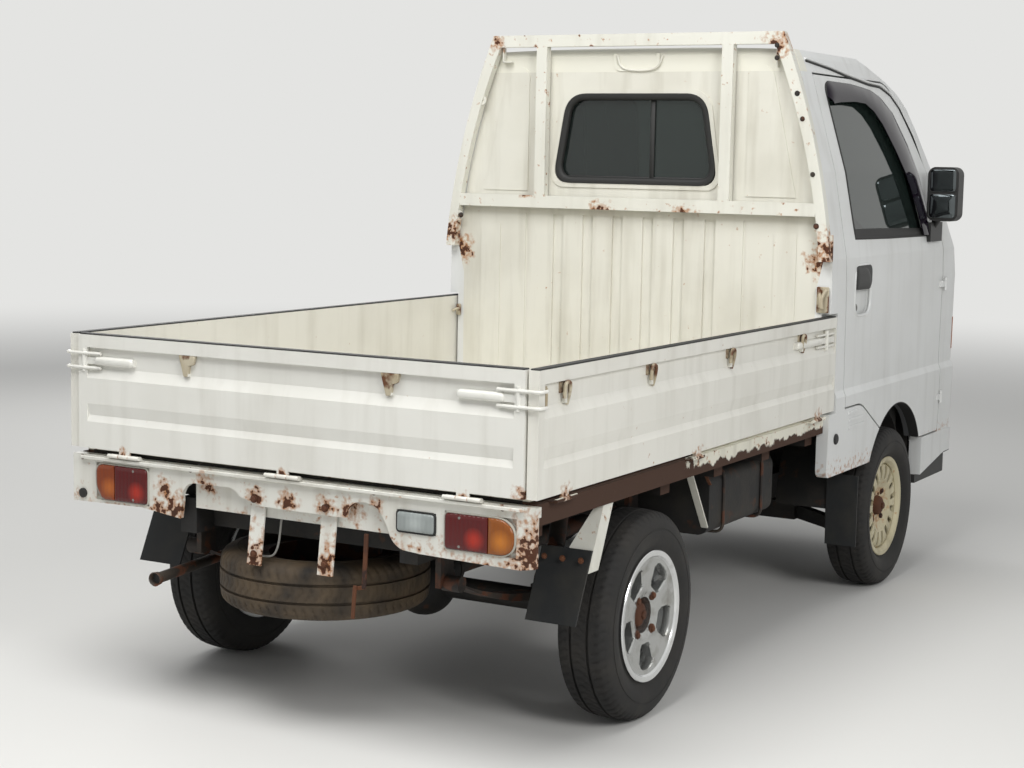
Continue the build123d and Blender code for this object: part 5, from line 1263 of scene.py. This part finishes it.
# columns: distance from the sunk band, place along the truck
side_wire_line = [(0.008, -0.120), (0.0095, -0.200), (0.0095, -0.262), (0.002, -0.268)]
for side, sign in sides:
    body = f"side_gate_{side}"
    strip = plate((sign * (gate_inner_x + strip_inset), gate_front_y + strip_end, rail_top),
                  (sign * (gate_face_x - strip_inset), gate_rear_y - strip_end, strip_top), 2, 0.002,
                  0.0012)
    build(f"gate_rubber_strip_{side}", [strip], black_rubber, body)
    hook_parts = []
    for y in side_hooks:
        arch = bent([(sign * (band_x + out), y + along, z) for out, along, z in side_hook_line])
        hook_parts.append(tube(arch, 0.0048, 10))
        hook_parts.append(plate((sign * (band_x - 0.001), y - 0.022, 0.896),
                                (sign * (band_x + 0.0035), y + 0.020, 0.9245), 0))
    build(f"gate_hooks_{side}", hook_parts, pale_rust, body)
    lever_x = sign * (band_x + 0.001)
    latch = [lever_bar((lever_x, -0.150, latch_z), (lever_x, 0.046, latch_z), (sign, 0, 0)),
             pin(0.030, 0.0075, (sign * (band_x + 0.0075), -0.200, latch_z))]
    for z in (latch_z - 0.018, latch_z + 0.018):
        latch.append(tube(bent([(sign * (band_x + out), y, z) for out, y in side_wire_line]), 0.0040, 8))
    build(f"gate_latch_{side}", latch, gate_white, body)

# columns: place across the truck, distance from the sunk band
tail_wire_line = [(0.585, 0.009), (0.640, 0.0130), (0.672, 0.0136), (0.693, 0.0136), (0.698, 0.0020),
                  (0.698, -0.020)]
latch_parts = []
for side, sign in reversed(sides):
    lever_y = band_y + 0.001
    latch_parts.append(lever_bar((sign * 0.478, lever_y, latch_z), (sign * 0.604, lever_y, latch_z),
                                 (0, 1, 0)))
    for z in (latch_z - 0.0185, latch_z + 0.0185):
        wire = bent([(sign * x, band_y + out, z) for x, out in tail_wire_line])
        latch_parts.append(tube(wire, 0.0042, 8))
    latch_parts.append(pin(0.028, 0.0065, (sign * 0.640, band_y + 0.0085, latch_z)))
    keeper = [pin(0.024, 0.0055, (sign * 0.6855, 1.596, latch_z)),
              plate((sign * 0.6785, 1.580, 0.864), (sign * 0.682, 1.612, 0.918), 0, 0.004)]
    build(f"gate_keeper_{side}", keeper, pale_rust, f"side_gate_{side}")
build("tailgate_latches", latch_parts, tail_white, "tailgate")
tail_hook_levels = [(0.001, 0), (0, 0.001), (0, 0.0095), (0.002, 0.0115)]
hook_parts = []
for x in tail_hooks:
    outline = ([(x + 0.026, 0.9245), (x - 0.026, 0.9245), (x - 0.020, 0.902), (x - 0.006, 0.898),
                (x - 0.004, 0.872), (x + 0.010, 0.870)], 0.004, 3)
    hook_parts.append(pillow(outline, tail_hook_levels, (0, band_y, 0), *facing_rear))
build("tailgate_hooks", hook_parts, pale_rust, "tailgate")
barrel_pitch = 0.034
barrel = [(-0.0155, 0), (-0.0155, 0.0044), (-0.0140, 0.0052), (0.0140, 0.0052), (0.0155, 0.0044),
          (0.0155, 0)]


def hinge_barrels(steps):
    """Rolled barrels on the tailgate's hinge line, each some steps along from a hinge's middle."""
    return [turned(barrel, (x + step * barrel_pitch, tail_axis_y, hinge_axis_z), (1, 0, 0), 16)
            for x in tail_hinge_xs for step in steps]


hinge_plates = [plate((x - 0.050, 1.6305, 0.640), (x + 0.050, 1.6335, 0.6545), 1) for x in tail_hinge_xs]
build("tailgate_hinges_bed", hinge_barrels((-1, 1)) + hinge_plates, gate_white, "root")
build("tailgate_hinges_gate", hinge_barrels((0,)), gate_white, "tailgate")

# Guard frame
# Square tube welded into a frame behind the cab, in the bed's creamy enamel, chipped along its
# edges and rusted at the welds of its feet. Bolts and small brackets hold it to the wall.
# columns: x, y, z, reach of the frame's rust spots
frame_rust = [(0.665, -0.215, 1.175, 0.055), (-0.670, -0.215, 1.165, 0.065), (-0.49, -0.215, 1.79, 0.05),
              (0.50, -0.215, 1.81, 0.04), (0.374, -0.2, 1.32, 0.03), (-0.2, -0.2, 1.25, 0.05),
              (0.1, -0.2, 1.25, 0.05)]
frame_white = enamel("creamy_frame_enamel", "DDDCD2", "8F8873", streaks=0.26, chips=0.69, sheen=0.40,
                     spots=frame_rust)
finish_nodes(frame_white, "guard_frame", "flap_brackets")
# columns: x, z, size
frame_bolts = [(-0.492, 1.786, 0.006), (-0.493, 1.748, 0.006), (-0.563, 1.640, 0.0065),
               (-0.583, 1.563, 0.006), (-0.6225, 1.395, 0.006), (0.628, 1.234, 0.007),
               (-0.640, 1.238, 0.007)]
frame_face_y = -0.2005
eye_y = -0.2055
catch_front_y, catch_rear_y = -0.2300, -0.2265
guard_parts = []
for x, z, size in frame_bolts:
    guard_parts += bolt((x, frame_face_y, z), (0, 1, 0), size)
build("guard_frame_bolts", guard_parts, rusty_steel, "root")
eye = [(-0.002, 0.0065), (-0.002, 0.0165), (0.002, 0.0165), (0.002, 0.0065)]
ears = [turned(eye, (x, eye_y, z), (0, 1, 0), closed=True)
        for x, z in ((0.556, 1.619), (0.640, 1.232), (-0.648, 1.232))]
for x_low, x_high, z_low, z_high in ((0.480, 0.484, 1.742, 1.790), (0.452, 0.484, 1.742, 1.746),
                                     (-0.490, -0.486, 1.720, 1.790)):
    ears.append(plate((x_low, -0.2310, z_low), (x_high, -0.2130, z_high), 1, 0.001, 0.0005))
weld_points = 24
weld_radius = 0.0035 + 0.0012 * np.sin(np.linspace(0, 14 * math.pi, weld_points))
for sign in (-1, 1):
    for weld_y in (-0.216, -0.204):
        weld = np.linspace((sign * 0.668, weld_y, 1.205), (sign * 0.680, weld_y, 1.140), weld_points)
        ears.append(tube(weld, weld_radius, 6))
build("guard_frame_ears", ears, frame_white, "root")
right_outer_prong = bent([(-0.672, -0.2250, 1.044), (-0.660, -0.2160, 1.020), (-0.662, -0.2160, 0.986)])
right_inner_prong = bent([(-0.646, -0.2250, 1.044), (-0.656, -0.2160, 1.020), (-0.657, -0.2160, 0.990)])
left_prong = bent([(0.646, -0.2250, 0.914), (0.646, -0.2080, 0.914), (0.659, -0.2060, 0.908)])
catches = [plate((-0.680, catch_front_y, 0.972), (-0.640, catch_rear_y, 1.052), 1, 0.004),
           tube(right_outer_prong, 0.0055, 8),
           tube(right_inner_prong, 0.0055, 8),
           plate((0.640, catch_front_y, 0.892), (0.657, catch_rear_y, 0.930), 1),
           tube(left_prong, 0.0045, 8)]
build("gate_catches_on_wall", catches, pale_rust, "root")

# Rear panel
# A pressed sheet under the tailgate that holds the lamps, in white enamel that has rusted away
# along its lower edge, its openings and its corner posts.
# columns: x, z, reach of the panel's rust spots
panel_rust = [(-0.683, 0.54, 0.100), (-0.665, 0.48, 0.05), (0.40, 0.52, 0.04), (0.655, 0.47, 0.04),
              (-0.30, 0.47, 0.05), (0.100, 0.435, 0.035), (-0.112, 0.435, 0.035), (0.100, 0.59, 0.03),
              (-0.112, 0.59, 0.03), (-0.25, 0.60, 0.03), (0.25, 0.60, 0.04), (0.35, 0.53, 0.05),
              (0.385, 0.58, 0.035), (0.0, 0.585, 0.035), (-0.18, 0.58, 0.04)]
panel_white = enamel("white_panel_enamel", "D9D8D0", "8A7B62", streaks=0.45, chips=0.72,
                     lower=(0.46, 0.57), spread=0.27,
                     spots=[(x, 1.63, z, reach) for x, z, reach in panel_rust])
finish_nodes(panel_white, "rear_panel")
stay_face_y = 1.6335
panel_face_y = 1.6300
panel_bolts = []
for x in (0.100, -0.112):
    for z in (0.585, 0.448):
        panel_bolts += bolt((x, stay_face_y, z), (0, 1, 0), 0.0075)
for x in (-0.60, -0.25, 0.30, 0.655):
    panel_bolts += bolt((x, panel_face_y, 0.6370), (0, 1, 0), 0.0050)
build("rear_panel_bolts", panel_bolts, bare_rust, "root")
seam_lip = plate((-0.655, 1.6200, 0.6345), (0.655, 1.6410, 0.6425), 2, 0.003)
build("tailgate_seam_lip", [seam_lip], panel_white, "root")
panel_plug = [(0, 0), (0, 0.0125), (0.004, 0.0125), (0.0055, 0.010), (0.0055, 0)]
cab_plug = [(0, 0), (0, 0.017), (0.005, 0.017), (0.008, 0.013), (0.008, 0)]
plug_parts = [turned(panel_plug, (0.653, 1.6305, 0.543), (0, 1, 0)),
              turned(cab_plug, (-0.6905, -0.302, 0.573), (-1, 0, 0))]
build("body_plugs", plug_parts, black_rubber, "root")
rod_y = 1.600
strap_y = 1.603
prop_x = -0.600
hook_rod = bent([(x, rod_y, z) for x, z in ((0.038, 0.575), (0.040, 0.540), (0.053, 0.443),
                                            (0.100, 0.436), (0.112, 0.445))])
build("carrier_hook_rod", [tube(hook_rod, 0.0028, 8)], grey_steel, "root")
across = (1, 0, 0)
straps = [flat_bar((-0.214, strap_y, 0.530), (-0.208, strap_y, 0.395), 0.011, 0.006, across),
          flat_bar((-0.208, strap_y, 0.398), (-0.180, strap_y, 0.392), 0.010, 0.006, (0, 0, -1)),
          flat_bar((-0.182, strap_y, 0.400), (-0.176, strap_y, 0.318), 0.010, 0.005, across),
          flat_bar((prop_x, 0.520, 0.590), (prop_x, 0.455, 0.527), 0.010, 0.004, across)]
build("rusted_straps", straps, bare_rust, "root")
pipe_end = (0.416, 1.620, 0.344)
pipe_run = (-0.024, 0.369, -0.010)
flare_section = [(-0.012, 0.0138), (-0.004, 0.0165), (0.012, 0.0185), (0.0135, 0.0175), (0.0125, 0.0160),
                 (0.0015, 0.0130), (-0.012, 0.0130)]
# A black disc set across the pipe's bore inside the flare: soot, and painted shade of the hollow pipe
# behind it.
soot_and_shade_disc = [(0.0002, 0), (0.0002, 0.0138), (0.0010, 0.0135), (0.0010, 0)]
flare = turned(flare_section, pipe_end, pipe_run, 32, closed=True)
build("exhaust_flare", [flare], scaled_steel, "root", 60.0)
build("exhaust_soot", [turned(soot_and_shade_disc, pipe_end, pipe_run, 32)], black_rubber, "root")
prop = flat_bar((prop_x, 0.597, 0.575), (prop_x, 0.483, 0.409), 0.022, 0.004, across)
build("side_prop", [prop], wall_white, "root")

# Lamps
# Moulded acrylic lenses with prisms inside, over white reflectors: red and amber at the rear with
# a clear reversing lamp, clear and amber in front. The rear pairs sit in thin pale gaskets and
# the reversing lamp in a black one.


def lens(name, tint, painted_highlight, bulb, rough=0.10):
    """Moulded acrylic lens: a deep clear colour with a wet gloss, lightened round its bulb by a painted
    highlight where the reflector behind would shine, and prisms drawn 12 mm apart, coarser than real ones
    so that they show."""
    made, tree, shader, place = blank(name)
    highlight_reach, bulb_radius = 0.030, 0.006
    # Painted highlight: the tint turns toward a lighter colour round the bulb, standing for light off the
    # reflector.
    highlight_share = between(tree, distance_to(tree, place, (1, 1, 1), bulb), highlight_reach, bulb_radius)
    tree.links.new(mixed(tree, calc(tree, "MULTIPLY", highlight_share, 0.8), colour(tint), colour(painted_highlight)),
                   shader.inputs["Base Color"])
    shader.inputs["Roughness"].default_value = rough
    shader.inputs["IOR"].default_value = 1.49
    shader.inputs["Coat Weight"].default_value = 0.25
    shader.inputs["Specular IOR Level"].default_value = 0.35
    prisms = add(tree, "ShaderNodeTexWave", {"wave_type": "BANDS", "bands_direction": "X"},
                 {"Vector": place, "Scale": 26.0})
    raised(tree, shader, prisms.outputs["Fac"], 0.0012)
    return made


lens_levels = [(0, 0), (0, 0.0130), (0.0015, 0.0155), (0.0045, 0.0168), (0.012, 0.0172)]
gasket_levels = [(-0.0025, 0.006), (-0.0025, 0.0115), (-0.0010, 0.0135), (0.0012, 0.0128),
                 (0.0012, 0.006)]
lamp_back = ((0, 1.621, 0), *facing_rear)
lamp_bulb_y = 1.638
# columns: name, tint, painted highlight colour round the bulb, bulb (x, z), outline corners, cuts
lamps = [
    ("lens_red_left", "52090A", "B02A16", (0.470, 0.562),
     [(0.4365, 0.5335), (0.5440, 0.5335), (0.5440, 0.6245), (0.4365, 0.6245)],
     [0.012, 0.001, 0.001, 0.014]),
    ("lens_amber_left", "7A3512", "B06024", (0.560, 0.566),
     [(0.5445, 0.5335), (0.5860, 0.5335), (0.6055, 0.5680), (0.6055, 0.6120), (0.5930, 0.6245),
      (0.5445, 0.6245)], [0.001, 0.014, 0.014, 0.010, 0.010, 0.001]),
    ("lens_red_right", "52090A", "B02A16", (-0.530, 0.557),
     [(-0.5645, 0.5285), (-0.4495, 0.5285), (-0.4495, 0.6125), (-0.5645, 0.6125)],
     [0.001, 0.010, 0.012, 0.001]),
    ("lens_amber_right", "85480F", "C07420", (-0.600, 0.560),
     [(-0.5650, 0.6125), (-0.6060, 0.6125), (-0.6335, 0.5900), (-0.6335, 0.5480), (-0.6120, 0.5285),
      (-0.5650, 0.5285)], [0.001, 0.024, 0.020, 0.020, 0.020, 0.001]),
    ("lens_reversing", "8D9391", "A9AFAD", (-0.369, 0.578),
     [(-0.4195, 0.5555), (-0.3185, 0.5555), (-0.3185, 0.6015), (-0.4195, 0.6015)], 0.008),
]
curve_steps = 5
for name, tint, painted_highlight, bulb, corners, cuts in lamps:
    finish = lens(f"acrylic_{name}", tint, painted_highlight, (bulb[0], lamp_bulb_y, bulb[1]))
    piece = build(name, [pillow((corners, cuts, curve_steps), lens_levels, *lamp_back)], finish, "root",
                  50.0)
    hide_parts("tail_lamps")
pale_gasket = solid_dye("pale_foam_gasket", "B9B7AE", "9A978C", 0.7, 0.003, 0.0002)
left_gasket = ([(0.4350, 0.5320), (0.5870, 0.5320), (0.6070, 0.5680), (0.6070, 0.6130), (0.5940, 0.6260),
                (0.4350, 0.6260)], [0.012, 0.014, 0.014, 0.010, 0.010, 0.014], curve_steps)
right_gasket = ([(-0.4480, 0.6140), (-0.6065, 0.6140), (-0.6350, 0.5905), (-0.6350, 0.5475),
                 (-0.6125, 0.5270), (-0.4480, 0.5270)], [0.012, 0.024, 0.020, 0.020, 0.020, 0.010],
                curve_steps)
gaskets = [pillow(outline, gasket_levels, *lamp_back, hollow=True)
           for outline in (left_gasket, right_gasket)]
build("tail_lamp_gaskets", gaskets, pale_gasket, "root", 60.0)
reversing_frame = pillow(box_outline(-0.4215, -0.3165, 0.5535, 0.6035, 0.009, curve_steps), gasket_levels,
                         *lamp_back, hollow=True)
build("reversing_lamp_frame", [reversing_frame], black_rubber, "root", 60.0)
screw_head = [(0, 0), (0, 0.0035), (0.0015, 0.0030), (0.0018, 0)]
screws = [turned(screw_head, (x, 1.6375, z), (0, 1, 0), 12)
          for x, z in ((-0.490, 0.604), (-0.490, 0.537), (0.480, 0.616), (0.480, 0.542))]
build("tail_lamp_screws", screws, grey_steel, "root")
head_lamp_x = 0.479
head_lamp_z = 0.822
front_clear = lens("fluted_glass_head_lamp", "A9AEAE", "A9AEAE", (head_lamp_x, 0, head_lamp_z), 0.05)
front_clear.node_tree.nodes["Principled BSDF"].inputs["Metallic"].default_value = 0.55
turn_lamp_x = 0.574


def turn_lamp(tree, place):
    """1 on the amber turn lamp, outward of the head lamp."""
    return between(tree, from_middle_plane(tree, place), turn_lamp_x, turn_lamp_x + 2 * fade_width)


def painted_bulb_highlight(tree, place):
    """Painted highlight: 1 at each head lamp's bulb, fading out to its reflector's rim."""
    aside = plain_sum(tree, "SUBTRACT", from_middle_plane(tree, place), head_lamp_x)
    up = plain_sum(tree, "SUBTRACT", parts_of(tree, place)[2], head_lamp_z)
    squares = plain_sum(tree, "ADD", plain_sum(tree, "MULTIPLY", aside, aside),
                        plain_sum(tree, "MULTIPLY", up, up))
    reflector_radius, bulb_radius = 0.040, 0.004
    return between(tree, plain_sum(tree, "POWER", squares, 0.5), reflector_radius, bulb_radius)


# Painted highlight: a near-white spot over each head lamp's bulb.
overcoat(front_clear, painted_bulb_highlight, "F2F3F0", 0.05)
overcoat(front_clear, turn_lamp, "B4601A", 0.12)
finish_nodes(front_clear, "front_lamps")

# Mud flaps
# Moulded rubber sheets, one behind each wheel. The rear ones hang from steel brackets, each by
# three bolts that have rusted.


def flap_sheet():
    """Moulded rubber sheet: blue-black, dull, with dried mud on it."""
    made, tree, shader, place = blank("muddy_rubber_sheet")
    mud = between(tree, clouds(tree, place, 0.09, 6.0), 0.45, 0.80)
    tree.links.new(mixed(tree, mud, colour("181A1B"), colour("2E2C27")), shader.inputs["Base Color"])
    shader.inputs["Roughness"].default_value = 0.7
    raised(tree, shader, clouds(tree, place, 0.03, 4.0), 0.0015, 0.3)
    return made


finish_nodes(flap_sheet(), "mud_flaps")
flap_bolt_y, flap_bolt_z = 1.3345, 0.470
flap_bolts = []
for sign in (-1, 1):
    for x in (0.550, 0.600, 0.650):
        flap_bolts += bolt((sign * x, flap_bolt_y, flap_bolt_z), (0, 1, 0), 0.006)
build("mud_flap_bolts", flap_bolts, bare_rust, "root")
